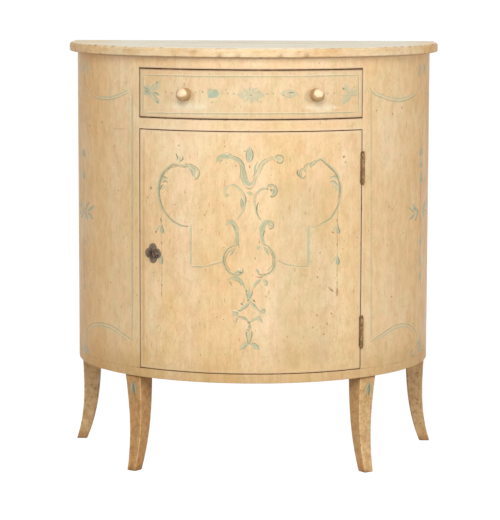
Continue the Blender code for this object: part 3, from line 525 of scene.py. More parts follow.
def aged_paint_group():
    """Return the group of old paint: mottling, streaks, cracks, worm holes, wear and dirt."""
    name = "aged paint"
    if name in bpy.data.node_groups:
        return bpy.data.node_groups[name]
    bench, entry, leave = new_group(
        name,
        (("Place", PLACE, None), ("Paint", COLOUR, None), ("Pale", COLOUR, None),
         ("Ochre", COLOUR, None), ("Wood", COLOUR, None), ("Dirt and shade", COLOUR, None),
         ("Worn", NUMBER, 0.0), ("Grime and shade", NUMBER, 0.0)),
        (("Colour", COLOUR), ("Roughness", NUMBER), ("Height", NUMBER)))
    place = entry["Place"]
    broad = bench.band(bench.noise(place, (5.0, 5.0, 2.4), 3.0, 0.6), 0.38, 0.60)
    tone = bench.mix(broad, entry["Ochre"], entry["Paint"])
    clouds = bench.band(bench.noise(place, (10.0, 10.0, 4.6), 4.0, 0.62, 0.4), 0.48, 0.72)
    tone = bench.mix(bench.maths("MULTIPLY", clouds, 0.65), tone, entry["Pale"])
    blush = bench.band(bench.noise(place, (15.0, 15.0, 3.0), 3.0, 0.55), 0.36, 0.66)
    tone = bench.shaded(tone, blush, (1.0, 0.985, 0.930), (1.01, 1.0, 1.0))
    patches = bench.noise(place, (52.0, 52.0, 30.0), 4.0, 0.65)
    tone = bench.shaded(tone, bench.band(patches, 0.34, 0.62), (0.93, 0.905, 0.855),
                        (1.02, 1.02, 1.02))
    streaks = bench.noise(place, (130.0, 130.0, 7.0), 4.0, 0.65)
    tone = bench.shaded(tone, bench.band(streaks, 0.30, 0.66), (0.968, 0.950, 0.915),
                        (1.01, 1.01, 1.01))
    tint = bench.noise(place, (30.0, 30.0, 34.0), 2.0, 0.5)
    tone = bench.shaded(tone, bench.band(tint, 0.38, 0.62), (1.01, 0.982, 0.975),
                        (0.985, 1.012, 0.990))
    hairs = bench.noise(place, (420.0, 420.0, 110.0), 3.0, 0.65)
    tone = bench.shaded(tone, bench.band(hairs, 0.30, 0.64), (0.945, 0.925, 0.885),
                        (1.02, 1.02, 1.02))
    for scale, size, share, cover in (((92.0, 92.0, 26.0), 0.20, 0.20, 0.42),
                                      ((150.0, 150.0, 66.0), 0.24, 0.16, 0.40),
                                      ((44.0, 44.0, 34.0), 0.10, 0.34, 0.40)):
        flecks = bench.maths("MULTIPLY", bench.dots(place, scale, size, share), cover)
        tone = bench.mix(flecks, tone, (0.50, 0.27, 0.12))
    cracks = bench.cells(place, (95.0, 95.0, 40.0), "DISTANCE_TO_EDGE").outputs["Distance"]
    cracked = bench.band(bench.noise(place, (9.0, 9.0, 6.0), 2.0), 0.46, 0.62)
    lines = bench.maths("MULTIPLY", bench.band(cracks, 0.0, 0.05, 1.0, 0.0), cracked)
    tone = bench.mix(bench.maths("MULTIPLY", lines, 0.14), tone, entry["Wood"])
    holes = bench.dots(place, (38.0, 38.0, 30.0), 0.060, 0.42)
    specks = bench.dots(place, (84.0, 84.0, 46.0), 0.13, 0.13)
    marks = bench.maths("MAXIMUM", holes, bench.maths("MULTIPLY", specks, 0.75))
    tone = bench.mix(bench.maths("MULTIPLY", marks, 0.78), tone, entry["Wood"])
    rough_edge = bench.noise(place, (75.0, 75.0, 40.0), 4.0, 0.65)
    wear = bench.maths("ADD", bench.maths("MULTIPLY", entry["Worn"], 0.80),
                       bench.maths("SUBTRACT", rough_edge, 0.5))
    tone = bench.mix(bench.band(wear, 0.20, 0.95, 0.0, 0.62), tone, entry["Pale"])
    tone = bench.mix(bench.band(wear, 0.86, 0.98, 0.0, 0.60), tone, entry["Wood"])
    # Dirt, with painted shade in the gaps and under the top board: warm where faint, dark where
    # strong
    dirt_and_shade = bench.maths("MULTIPLY", entry["Grime and shade"], bench.band(rough_edge, 0.2, 0.55, 0.6, 1.0))
    varnish = bench.mix(bench.band(dirt_and_shade, 0.15, 0.60), (0.52, 0.25, 0.06), entry["Dirt and shade"])
    tone = bench.mix(dirt_and_shade, tone, varnish)
    bench.feed(leave["Colour"], tone)
    gloss = bench.band(bench.noise(place, (16.0, 16.0, 12.0), 3.0, 0.6), 0.3, 0.7, 0.36, 0.50)
    bench.feed(leave["Roughness"], bench.maths("ADD", gloss, bench.maths("MULTIPLY", dirt_and_shade, 0.3)))
    height = bench.maths("ADD", bench.maths("MULTIPLY", streaks, 0.6),
                         bench.maths("MULTIPLY", patches, 0.8))
    height = bench.maths("SUBTRACT", height, bench.maths("MULTIPLY", lines, 0.35))
    height = bench.maths("SUBTRACT", height, bench.maths("MULTIPLY", marks, 1.2))
    bench.feed(leave["Height"], height)
    return bench.tree


def old_pine_group():
    """Return the group of old pine, whose grain runs along X."""
    name = "old pine"
    if name in bpy.data.node_groups:
        return bpy.data.node_groups[name]
    bench, entry, leave = new_group(
        name,
        (("Place", PLACE, None), ("Light", COLOUR, None), ("Dark", COLOUR, None)),
        (("Colour", COLOUR), ("Roughness", NUMBER), ("Height", NUMBER)))
    place = entry["Place"]
    bent = bench.noise(place, (1.6, 6.0, 6.0), 3.0, 0.5)
    offset = bench.add("ShaderNodeCombineXYZ", {"Y": bench.maths("MULTIPLY", bent, 0.10)})
    moved = bench.add("ShaderNodeVectorMath", operation="ADD")
    bench.feed(moved.inputs[0], place)
    bench.feed(moved.inputs[1], offset.outputs["Vector"])
    rings = bench.noise(moved.outputs["Vector"], (1.2, 85.0, 85.0), 3.0, 0.55)
    pores = bench.noise(place, (14.0, 460.0, 460.0), 2.0, 0.6)
    tone = bench.mix(bench.band(rings, 0.36, 0.62), entry["Dark"], entry["Light"])
    tone = bench.shaded(tone, bench.band(pores, 0.30, 0.60), (0.80, 0.76, 0.70), (1.03, 1.03, 1.03))
    stains = bench.noise(place, (5.0, 9.0, 9.0), 4.0, 0.6)
    tone = bench.shaded(tone, bench.band(stains, 0.34, 0.60), (0.72, 0.68, 0.62),
                        (1.04, 1.04, 1.04))
    cells = bench.cells(place, (5.0, 9.0, 9.0))
    chosen = bench.add("ShaderNodeSeparateColor", {"Color": cells.outputs["Color"]})
    knots = bench.maths("MULTIPLY", bench.band(chosen.outputs["Red"], 0.86, 0.87),
                        bench.band(cells.outputs["Distance"], 0.04, 0.11, 1.0, 0.0))
    tone = bench.mix(bench.maths("MULTIPLY", knots, 0.8), tone, (0.10, 0.045, 0.018))
    bench.feed(leave["Colour"], tone)
    bench.feed(leave["Roughness"], bench.band(stains, 0.3, 0.7, 0.82, 0.62))
    bench.feed(leave["Height"], bench.maths("ADD", bench.maths("MULTIPLY", rings, 0.5), pores))
    return bench.tree


def old_metal_group():
    """Return the group of hand-worked metal with stains and small pits."""
    name = "old metal"
    if name in bpy.data.node_groups:
        return bpy.data.node_groups[name]
    bench, entry, leave = new_group(
        name,
        (("Place", PLACE, None), ("Light", COLOUR, None), ("Dark", COLOUR, None),
         ("Worn", NUMBER, 0.0)),
        (("Colour", COLOUR), ("Roughness", NUMBER), ("Metallic", NUMBER), ("Height", NUMBER)))
    place = entry["Place"]
    stains = bench.noise(place, (190.0, 190.0, 190.0), 4.0, 0.65)
    fine = bench.noise(place, (900.0, 900.0, 900.0), 2.0, 0.6)
    rubbed = bench.maths("ADD", bench.maths("MULTIPLY", entry["Worn"], 0.45), stains)
    bright = bench.band(rubbed, 0.44, 0.80)
    tone = bench.mix(bright, entry["Dark"], entry["Light"])
    rust = bench.band(bench.noise(place, (120.0, 120.0, 120.0), 3.0, 0.6), 0.54, 0.68, 0.0, 0.4)
    tone = bench.mix(rust, tone, (0.16, 0.080, 0.045))
    tone = bench.shaded(tone, bench.band(fine, 0.3, 0.6), (0.82, 0.80, 0.78), (1.04, 1.04, 1.04))
    bench.feed(leave["Colour"], tone)
    bench.feed(leave["Roughness"], bench.band(rubbed, 0.35, 0.8, 0.66, 0.36))
    bench.feed(leave["Metallic"], bench.band(rust, 0.0, 0.4, 0.70, 0.25))
    bench.feed(leave["Height"], bench.maths("ADD", stains, bench.maths("MULTIPLY", fine, 0.4)))
    return bench.tree


def brushed_ink_group():
    """Return the group that lays a worn brush stroke over the paint under it."""
    name = "brushed ink"
    if name in bpy.data.node_groups:
        return bpy.data.node_groups[name]
    bench, entry, leave = new_group(
        name,
        (("Place", PLACE, None), ("Under", COLOUR, None), ("Ink", COLOUR, None),
         ("Cover", NUMBER, 1.0), ("Across", NUMBER, 0.0)),
        (("Colour", COLOUR),))
    place = entry["Place"]
    fade = bench.noise(place, (70.0, 70.0, 46.0), 3.0, 0.6)
    brush = bench.noise(place, (340.0, 340.0, 240.0), 2.0, 0.6)
    edge = bench.maths("ABSOLUTE", entry["Across"])
    inside = bench.band(edge, 0.62, 1.0, 1.0, 0.0)
    kept = bench.maths("MULTIPLY", bench.band(fade, 0.28, 0.54, 0.50, 1.0),
                       bench.band(brush, 0.30, 0.50, 0.62, 1.0))
    cover = bench.maths("MULTIPLY", bench.maths("MULTIPLY", inside, kept), entry["Cover"])
    bench.feed(leave["Colour"], bench.mix(cover, entry["Under"], entry["Ink"]))
    return bench.tree


def attribute_value(bench, name):
    """Return what a mesh attribute holds at the point that is shaded."""
    return bench.add("ShaderNodeAttribute", attribute_name=name).outputs["Fac"]


def new_material(name, specular):
    """Return a new material, its bench and its shader."""
    material = bpy.data.materials.new(name)
    material.use_nodes = True
    material.node_tree.nodes.clear()
    bench = NodeBench(material.node_tree)
    shader = bench.add("ShaderNodeBsdfPrincipled")
    shader.inputs["Specular IOR Level"].default_value = specular
    bench.add("ShaderNodeOutputMaterial", {"Surface": shader.outputs["BSDF"]})
    return material, bench, shader


def finish_surface(bench, shader, colour, roughness, height, relief):
    """Give a shader its colour, its roughness and the small relief of its height."""
    bench.feed(shader.inputs["Base Color"], colour)
    bench.feed(shader.inputs["Roughness"], roughness)
    inputs = {"Height": height, "Distance": relief[0], "Strength": relief[1]}
    node = bench.add("ShaderNodeBump", inputs)
    bench.feed(shader.inputs["Normal"], node.outputs["Normal"])


def aged_paint(bench, place, shades, stretch=(1.0, 1.0, 1.0)):
    """Place the old paint in a material and return its colour, roughness and height.

    shades holds its paint, pale and ochre colours. Painted shade browns the sides and the foot.
    """
    paint, pale, ochre = shades
    inputs = {"Place": bench.stretched(place, stretch), "Paint": paint, "Pale": pale,
              "Ochre": ochre, "Wood": colours().bare_wood, "Dirt and shade": colours().grime_and_shade,
              "Worn": attribute_value(bench, "worn"), "Grime and shade": attribute_value(bench, "grime_and_shade")}
    finish = bench.add("ShaderNodeGroup", inputs, node_tree=aged_paint_group()).outputs
    spot = bench.parts(place)
    # Painted shade towards the sides
    away = bench.maths("ABSOLUTE", bench.maths("SUBTRACT", spot["X"], SHADE_CENTRE))
    above_legs = bench.band(spot["Z"], BASE_LOW.z - FIT_GAP, BASE_LOW.z)
    aside = bench.maths("MULTIPLY", bench.band(away, SHADE_START, SHADE_END), above_legs)
    tone = bench.shaded(finish["Colour"], aside, WHITE, SIDE_PAINTED_SHADE)
    # Painted shade towards the bottom
    low = bench.band(spot["Z"], BASE_HIGH.z, BASE_HIGH.z + LOW_SHADE_REACH, 1.0, 0.0)
    tone = bench.shaded(tone, bench.maths("MULTIPLY", above_legs, low), WHITE, LOW_PAINTED_SHADE)
    # Painted shade at the foot of the sides
    beside = bench.band(bench.maths("ABSOLUTE", spot["X"]), PANEL_LOW.x - FIT_GAP, PANEL_LOW.x)
    foot = bench.band(spot["Z"], BASE_HIGH.z, BASE_HIGH.z + SIDE_FOOT_REACH, 1.0, 0.0)
    board = bench.band(spot["Z"], BASE_HIGH.z - FIT_GAP, BASE_HIGH.z)
    foot = bench.maths("MULTIPLY", bench.maths("MULTIPLY", beside, board), foot)
    tone = bench.shaded(tone, foot, WHITE, SIDE_FOOT_PAINTED_SHADE)
    # Painted shade on patches of the door
    for left, right, bottom, top, patch_shade in DOOR_PAINTED_SHADES:
        across = bench.window(spot["X"], left, right, PAINTED_SHADE_FADE)
        upwards = bench.window(spot["Z"], bottom, top, PAINTED_SHADE_FADE)
        tone = bench.shaded(tone, bench.maths("MULTIPLY", across, upwards), WHITE, patch_shade)
    return tone, finish["Roughness"], finish["Height"]


def inner_leg_painted_shade(bench, coordinates):
    """Return the painted shade on the faces of the legs that look at each other."""
    across = bench.parts(coordinates["Object"])["X"]
    facing = bench.parts(coordinates["Normal"])["X"]
    outward = bench.maths("MULTIPLY", facing, bench.maths("SIGN", across))
    return bench.mix(bench.band(outward, -0.6, 0.1), INNER_LEG_PAINTED_SHADE, WHITE)


def paint_material(name, shades, specular=PAINT_SHINE, stretch=(1.0, 1.0, 1.0), legs=False):
    """Return the old paint in one set of colours."""
    if name in bpy.data.materials:
        return bpy.data.materials[name]
    material, bench, shader = new_material(name, specular)
    coordinates = bench.add("ShaderNodeTexCoord").outputs
    tone, roughness, height = aged_paint(bench, coordinates["Object"], shades, stretch)
    if legs:
        # Painted shade on the legs' inner faces
        tone = bench.mix(1.0, tone, inner_leg_painted_shade(bench, coordinates), "MULTIPLY")
        specks = bench.dots(coordinates["Object"], (125.0, 125.0, 105.0), 0.34, 0.30)
        tone = bench.mix(bench.maths("MULTIPLY", specks, 0.55), tone, (0.22, 0.11, 0.045))
        blots = bench.noise(coordinates["Object"], (90.0, 90.0, 76.0), 4.0, 0.7)
        tone = bench.shaded(tone, bench.band(blots, 0.36, 0.60), (0.84, 0.79, 0.72),
                            (1.10, 1.10, 1.12))
    finish_surface(bench, shader, tone, roughness, height, PAINT_RELIEF)
    return material


def shades_of(part):
    """Return the paint, pale and ochre colours of a part, or of the body for an empty name."""
    start = part + "_" if part else ""
    return [getattr(colours(), start + word) for word in ("paint", "pale", "ochre")]


def body_paint():
    """Return the paint of the body."""
    return paint_material("old cream paint", shades_of(""))


def drawer_paint():
    """Return the paint of the drawer front."""
    return paint_material("old drawer paint", shades_of("drawer"))


def base_paint():
    """Return the paint of the bottom board."""
    return paint_material("old base paint", shades_of("base"))


def top_paint():
    """Return the paint of the top board, paler as painted light on its upward face."""
    return paint_material("old top paint", shades_of("top"), 0.8, (0.4, 1.0, 1.0))


def rim_paint():
    """Return the paint of the rim of the top board."""
    return paint_material("old rim paint", shades_of("rim"), stretch=(0.45, 0.45, 2.8))


def leg_paint():
    """Return the paint of the legs."""
    return paint_material("old leg paint", shades_of("leg"), legs=True)


def pine_material(grain):
    """Return old pine whose grain runs along X, Y or Z."""
    name = "old pine along " + grain
    if name in bpy.data.materials:
        return bpy.data.materials[name]
    turns = {"x": (0.0, 0.0, 0.0), "y": (0.0, 0.0, pi / 2), "z": (0.0, pi / 2, 0.0)}
    material, bench, shader = new_material(name, 0.25)
    place = bench.add("ShaderNodeTexCoord").outputs["Object"]
    turned = bench.add("ShaderNodeMapping", {"Vector": place, "Rotation": turns[grain]})
    inputs = {"Place": turned.outputs["Vector"], "Light": colours().pine_light,
              "Dark": colours().pine_dark}
    finish = bench.add("ShaderNodeGroup", inputs, node_tree=old_pine_group()).outputs
    finish_surface(bench, shader, finish["Colour"], finish["Roughness"], finish["Height"],
                   PINE_RELIEF)
    return material


def metal_material(name, light, dark):
    """Return old metal in one set of colours."""
    if name in bpy.data.materials:
        return bpy.data.materials[name]
    material, bench, shader = new_material(name, 0.5)
    place = bench.add("ShaderNodeTexCoord").outputs["Object"]
    inputs = {"Place": place, "Light": light, "Dark": dark,
              "Worn": attribute_value(bench, "worn")}
    finish = bench.add("ShaderNodeGroup", inputs, node_tree=old_metal_group()).outputs
    bench.feed(shader.inputs["Metallic"], finish["Metallic"])
    finish_surface(bench, shader, finish["Colour"], finish["Roughness"], finish["Height"],
                   METAL_RELIEF)
    return material


def old_iron():
    """Return the iron of the lock."""
    return metal_material("old dark iron", colours().iron_light, colours().iron_dark)


def hinge_iron():
    """Return the browned iron of the hinges."""
    return metal_material("browned hinge iron", colours().hinge_light, colours().hinge_dark)


def dull_steel():
    """Return the steel of screws and bolt."""
    return metal_material("dull steel", colours().steel_light, colours().steel_dark)


def gilt_material():
    """Return the worn gilt of the knobs, with painted shade under them."""
    name = "worn gilt"
    if name in bpy.data.materials:
        return bpy.data.materials[name]
    material, bench, shader = new_material(name, 0.5)
    place = bench.add("ShaderNodeTexCoord").outputs["Object"]
    patches = bench.noise(place, (150.0, 150.0, 150.0), 4.0, 0.65)
    rubbed = bench.maths("ADD", bench.maths("MULTIPLY", patches, 0.5),
                         attribute_value(bench, "worn"))
    tone = bench.mix(bench.band(rubbed, 0.86, 1.10), colours().gilt_dark, colours().gilt_light)
    # Painted shade: the gilt turns dark under the middle of the knob
    height = bench.parts(place)["Z"]
    middle = (DRAWER_LOW.z + DRAWER_HIGH.z) / 2
    under = bench.band(height, middle - KNOB_HEAD_RADIUS * 0.55, middle - KNOB_HEAD_RADIUS * 0.1)
    tone = bench.mix(under, colours().gilt_dark, tone)
    fine = bench.noise(place, (700.0, 700.0, 700.0), 2.0, 0.6)
    tone = bench.shaded(tone, bench.band(fine, 0.3, 0.62), (0.86, 0.83, 0.78), (1.04, 1.04, 1.04))
    roughness = bench.band(rubbed, 0.8, 1.2, 0.60, 0.44)
    bench.feed(shader.inputs["Metallic"], bench.band(rubbed, 0.8, 1.2, 0.05, 0.15))
    finish_surface(bench, shader, tone, roughness, bench.maths("ADD", patches, fine), GILT_RELIEF)
    return material


def smooth_shade(mesh):
    """Shade a mesh smooth, apart from its sharp edges."""
    mesh.polygons.foreach_set("use_smooth", [True] * len(mesh.polygons))
    mesh.set_sharp_from_angle(angle=HARD_ANGLE)
    mesh.update()


def add_piece(name, body, materials, carrier, nodes=()):
    """Make an object of a bmesh, and say what it rides on and which nodes it stands for."""
    bmesh.ops.recalc_face_normals(body, faces=body.faces)
    mesh = bpy.data.meshes.new(name)
    body.to_mesh(mesh)
    body.free()
    smooth_shade(mesh)
    for material in materials:
        mesh.materials.append(material)
    piece = bpy.data.objects.new(name, mesh)
    bpy.context.collection.objects.link(piece)
    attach(piece, carrier)
    if nodes:
        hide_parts(*nodes)
    return piece


def carve(piece, cutters):
    """Cut closed shapes out of a piece."""
    tools = []
    for index, body in enumerate(cutters):
        bmesh.ops.recalc_face_normals(body, faces=body.faces)
        mesh = bpy.data.meshes.new("cutter")
        body.to_mesh(mesh)
        body.free()
        tool = bpy.data.objects.new("cutter_%d" % index, mesh)
        bpy.context.collection.objects.link(tool)
        modifier = piece.modifiers.new("cut_%d" % index, "BOOLEAN")
        modifier.operation = "DIFFERENCE"
        modifier.solver = "EXACT"
        modifier.object = tool
        tools.append(tool)
    graph = bpy.context.evaluated_depsgraph_get()
    carved = bpy.data.meshes.new_from_object(piece.evaluated_get(graph))
    piece.modifiers.clear()
    piece.data = carved
    for tool in tools:
        bpy.data.meshes.remove(tool.data)
    smooth_shade(carved)


def set_attribute(mesh, name, values):
    """Give each vertex a value that the materials read."""
    layer = mesh.attributes.new(name, "FLOAT", "POINT")
    layer.data.foreach_set("value", values)


def even_shading(piece):
    """Let the large faces of a piece set its shading."""
    modifier = piece.modifiers.new("even_shading", "WEIGHTED_NORMAL")
    modifier.keep_sharp = True


def box_body(low, high):
    """Return a bmesh of a box between two corners."""
    body = bmesh.new()
    bmesh.ops.create_cube(body, size=1)
    middle = (Vector(low) + Vector(high)) / 2
    bmesh.ops.scale(body, verts=body.verts, vec=Vector(high) - Vector(low))
    bmesh.ops.translate(body, verts=body.verts, vec=middle)
    return body


def rod_body(radius, low, high, steps, matrix):
    """Return a bmesh of a rod along its own Z."""
    body = bmesh.new()
    bmesh.ops.create_cone(body, cap_ends=True, segments=steps, radius1=radius, radius2=radius,
                          depth=high - low)
    shift = Matrix.Translation((0, 0, (low + high) / 2))
    bmesh.ops.transform(body, matrix=matrix @ shift, verts=body.verts)
    return body


def turned_body(profile, steps, matrix):
    """Return a bmesh of a turned shape from its radii and heights."""
    body = bmesh.new()
    verts = [body.verts.new((radius, 0.0, height)) for radius, height in profile]
    for first, second in zip(verts, verts[1:]):
        body.edges.new((first, second))
    bmesh.ops.spin(body, geom=body.verts[:] + body.edges[:], cent=(0, 0, 0), axis=(0, 0, 1),
                   angle=2 * pi, steps=steps, use_merge=True)
    bmesh.ops.remove_doubles(body, verts=body.verts, dist=SMALL)
    bmesh.ops.transform(body, matrix=matrix, verts=body.verts)
    return body


def cut_row(body, place, normal):
    """Cut a row of edges right through a shape."""
    geometry = body.verts[:] + body.edges[:] + body.faces[:]
    bmesh.ops.bisect_plane(body, geom=geometry, dist=SMALL, plane_co=place, plane_no=normal)


def board_rows(low, high):
    """Return the heights of the rows of a board: close near its edges, then even."""
    near = EDGE_STEPS[:-1]
    last = EDGE_STEPS[-1]
    count = max(1, int((high - low - 2 * last) / sizes().row))
    pitch = (high - low - 2 * last) / count
    inner = [low + last + pitch * index for index in range(count + 1)]
    return [low + step for step in near] + inner + [high - step for step in near]


def bend_section(low, high, thickness, x_from, x_to, low_rounding, high_rounding):
    """Return a bmesh of a board's section swept round the front from one x to another."""
    body = bmesh.new()
    inner = BODY_RADIUS - thickness
    corners = ((BODY_RADIUS, low), (BODY_RADIUS, high), (inner, high), (inner, low))
    verts = [body.verts.new((0.0, AXIS_Y - radius, height)) for radius, height in corners]
    body.faces.new(verts)
    for corner_pair, rounding in (((verts[0], verts[3]), low_rounding),
                                  ((verts[1], verts[2]), high_rounding)):
        bmesh.ops.bevel(body, geom=corner_pair, offset=rounding, segments=3, profile=0.5,
                        affect="VERTICES", material=-1)
    start = bow_angle(x_from, BODY_RADIUS)
    sweep = bow_angle(x_to, BODY_RADIUS) - start
    centre = (0.0, AXIS_Y, 0.0)
    bmesh.ops.rotate(body, verts=body.verts, cent=centre, matrix=Matrix.Rotation(start, 3, "Z"))
    bmesh.ops.spin(body, geom=body.verts[:] + body.edges[:] + body.faces[:], cent=centre,
                   axis=(0, 0, 1), angle=sweep, steps=ceil(sweep * BODY_RADIUS / sizes().facet))
    for vert in body.verts:
        reach = hypot(vert.co.x, vert.co.y - AXIS_Y)
        share = (atan2(vert.co.x, AXIS_Y - vert.co.y) - start) / sweep
        first = bow_angle(x_from, reach)
        angle = first + (bow_angle(x_to, reach) - first) * share
        vert.co.x = reach * sin(angle)
        vert.co.y = AXIS_Y - reach * cos(angle)
    return body


def end_caps(body):
    """Return the faces that close the two ends of a swept section."""
    return [face for face in body.faces if len(face.verts) > SECTION_CORNERS]


def bowed_board(low, high, thickness, x_from, x_to, roundings, rear_y=None):
    """Return a bmesh of a board bent round the front, with eased edges and rows of faces.

    roundings holds the radii at its low edge, its high edge and its ends.
    """
    body = bend_section(low, high, thickness, x_from, x_to, roundings[0], roundings[1])
    if rear_y is not None:
        rear = max(end_caps(body), key=lambda face: face.calc_center_median().x)
        way = (0.0, (rear_y - AXIS_Y) / RETURN_STEPS, 0.0)
        for _ in range(RETURN_STEPS):
            moved = bmesh.ops.extrude_discrete_faces(body, faces=[rear])
            rear = moved["faces"][0]
            bmesh.ops.translate(body, verts=rear.verts, vec=way)
    bmesh.ops.recalc_face_normals(body, faces=body.faces)
    edges = list({edge for face in end_caps(body) for edge in face.edges})
    bmesh.ops.bevel(body, geom=edges, offset=roundings[2], segments=2, profile=0.5,
                    affect="EDGES", material=-1)
    for height in board_rows(low, high):
        cut_row(body, (0.0, 0.0, height), (0.0, 0.0, 1.0))
    for step in EDGE_STEPS:
        cut_row(body, (x_from + step, 0.0, 0.0), (1.0, 0.0, 0.0))
        if rear_y is None:
            cut_row(body, (x_to - step, 0.0, 0.0), (1.0, 0.0, 0.0))
    for face in body.faces:
        reach = bow_place(face.calc_center_median())[1]
        face.material_index = 0 if reach > BODY_RADIUS - PAINTED_SHARE * thickness else 1
    return body


def beside_gap(height):
    """Return whether a height lies beside the drawer or the door."""
    return DRAWER_LOW.z < height < DRAWER_HIGH.z or DOOR_LOW.z < height < DOOR_HIGH.z


def gap_dirt_and_shade(distance):
    """Return the strength of the dirt and painted shade at a distance from a gap: a dark line in a
    wide stain.
    """
    away = max(0.0, distance - GAP_DARK_LINE)
    return max(exp(-away / sizes().grime_and_shade_reach), WIDE_STAIN * exp(-away / WIDE_STAIN_REACH))


def weather_board(piece, low, high, arc_from, arc_to, dirt_and_shade):
    """Plane and chip the front of a board, and mark where it is worn, dirty and in painted shade.

    dirt holds the strengths along the low, high, left and right edges.
    """
    mesh = piece.data
    worn = []
    grime_and_shade = []
    for vert in mesh.vertices:
        arc, reach, outward = bow_place(vert.co)
        height = vert.co.z
        depth = max(0.0, BODY_RADIUS - reach - SMALL)
        gaps = (abs(height - low), abs(high - height), abs(arc - arc_from), abs(arc_to - arc))
        if not beside_gap(height):
            gaps = (gaps[0], gaps[1], 1.0, 1.0)
        near = min(gap for gap, strength in zip(gaps, dirt_and_shade) if strength is not None)
        worn.append(exp(-((near + depth) / sizes().wear_reach) ** 2))
        grime_and_shade.append(max(strength * gap_dirt_and_shade(gap) for gap, strength in zip(gaps, dirt_and_shade)
                         if strength is not None))
        if depth < CHIPPED_DEPTH:
            rough = noise.noise(Vector((arc, 0.2, height)) * CHIP_WAVE)
            chip = sizes().chip_depth * max(0.0, rough - 0.1) * exp(-near / CHIP_REACH)
            vert.co += outward * (planed(arc, height) - chip)
    set_attribute(mesh, "worn", worn)
    set_attribute(mesh, "grime_and_shade", grime_and_shade)
    even_shading(piece)


def half_round_board(radius, low, high, upper, lower):
    """Return a bmesh of a half-round board with rounded rims and rings of faces."""
    body = bmesh.new()
    start = body.verts.new((-radius, AXIS_Y, low))
    bmesh.ops.spin(body, geom=[start], cent=(0.0, AXIS_Y, low), axis=(0, 0, 1), angle=pi,
                   steps=ceil(pi * radius / sizes().facet))
    ring = sorted(body.verts, key=lambda vert: vert.co.x)
    bmesh.ops.delete(body, geom=body.edges[:], context="EDGES_FACES")
    verts = [body.verts.new(point) for point in [vert.co.copy() for vert in ring]]
    bmesh.ops.delete(body, geom=ring, context="VERTS")
    back = [body.verts.new((side * radius, BACK_Y, low)) for side in (1, -1)]
    face = body.faces.new(verts + back)
    made = bmesh.ops.extrude_face_region(body, geom=[face])
    top = [item for item in made["geom"] if isinstance(item, bmesh.types.BMVert)]
    bmesh.ops.translate(body, verts=top, vec=(0.0, 0.0, high - low))
    bmesh.ops.recalc_face_normals(body, faces=body.faces)
    for height, offset, steps in ((high, upper, UPPER_RIM_STEPS),
                                  (low, lower, LOWER_RIM_STEPS)):
        rim = [edge for edge in body.edges
               if all(abs(vert.co.z - height) < SMALL for vert in edge.verts)]
        bmesh.ops.bevel(body, geom=rim, offset=offset, segments=steps, profile=0.5,
                        affect="EDGES", material=-1)
    for flat in sorted(body.faces, key=lambda item: -item.calc_area())[:2]:
        for step in RING_STEPS:
            bmesh.ops.inset_region(body, faces=[flat], thickness=step, use_even_offset=True)
    return body


def weather_half_round(piece, radius, low, high, dirt_and_shade, wear):
    """Wear the rim of a half-round board, and mark where it is worn, dirty and in painted shadow.
    """
    mesh = piece.data
    worn = []
    grime_and_shade = []
    for vert in mesh.vertices:
        arc, reach, outward = bow_place(vert.co)
        inward = min(radius - reach, BACK_Y - vert.co.y)
        drop = min(high - vert.co.z, vert.co.z - low)
        near = max(inward, drop)
        is_upper = vert.co.z > (low + high) / 2
        rough = noise_at(arc * ROUGH_WAVE, reach * ROUGH_WAVE, vert.co.z * ROUGH_WAVE_UP)
        patchy = 0.5 + 0.5 * noise_at(arc * PATCH_WAVE, 4.0, 0.0)
        worn.append(min(1.0, wear * exp(-(near / RIM_WEAR_REACH) ** 2) * (0.5 + 0.6 * patchy)))
        broken = max(0.0, noise_at(arc * BREAK_WAVE, 9.0, 0.0) + 0.12)
        broken *= 0.5 + min(1.2, (arc / RIM_SIDE_ARC) ** 2)
        blotch = max(0.0, noise_at(arc * BLOTCH_WAVE, 2.0, vert.co.z * BLOTCH_WAVE_UP) - 0.14)
        blotch *= exp(-inward / RIM_BLOTCH_REACH)
        rim = exp(-((inward - RIM_LINE_INWARD) / RIM_LINE_SPREAD) ** 2) if is_upper else 0.0
        # Painted shadow under the rim, held with the dirt
        under = RIM_UNDER_SHADOW * exp(-(vert.co.z - low) / RIM_SHADOW_REACH)
        grime_and_shade.append(min(1.0, dirt_and_shade * (rim * broken + blotch) + under))
        if inward < RIM_BAND:
            vert.co -= outward * max(0.0, rough) * RIM_CHIP_DEPTH
            if is_upper:
                vert.co.z -= max(0.0, noise_at(arc * SAG_WAVE, 1.0, 2.0)) * RIM_SAG_DEPTH
        elif vert.co.z > high - FLAT_DROP:
            vert.co.z -= FLAT_HOLLOW * (1.0 + rough)
    set_attribute(mesh, "worn", worn)
    set_attribute(mesh, "grime_and_shade", grime_and_shade)
    even_shading(piece)


def leg_width(down):
    """Return the width of a leg at a share of the way down."""
    return LEG_TOP_WIDTH + (LEG_FOOT_WIDTH - LEG_TOP_WIDTH) * down


def leg_sweep(down, kick, sway):
    """Return how far a leg has swept outwards at a share of the way down."""
    return kick * down ** LEG_KICK_POWER - sway * sin(pi * down)


def leg_matrix(place, side, turn):
    """Return the matrix that stands a leg in its place."""
    stand = Matrix.Translation((side * place[0], place[1], 0.0))
    return stand @ Matrix.Rotation(side * turn, 4, "Z")


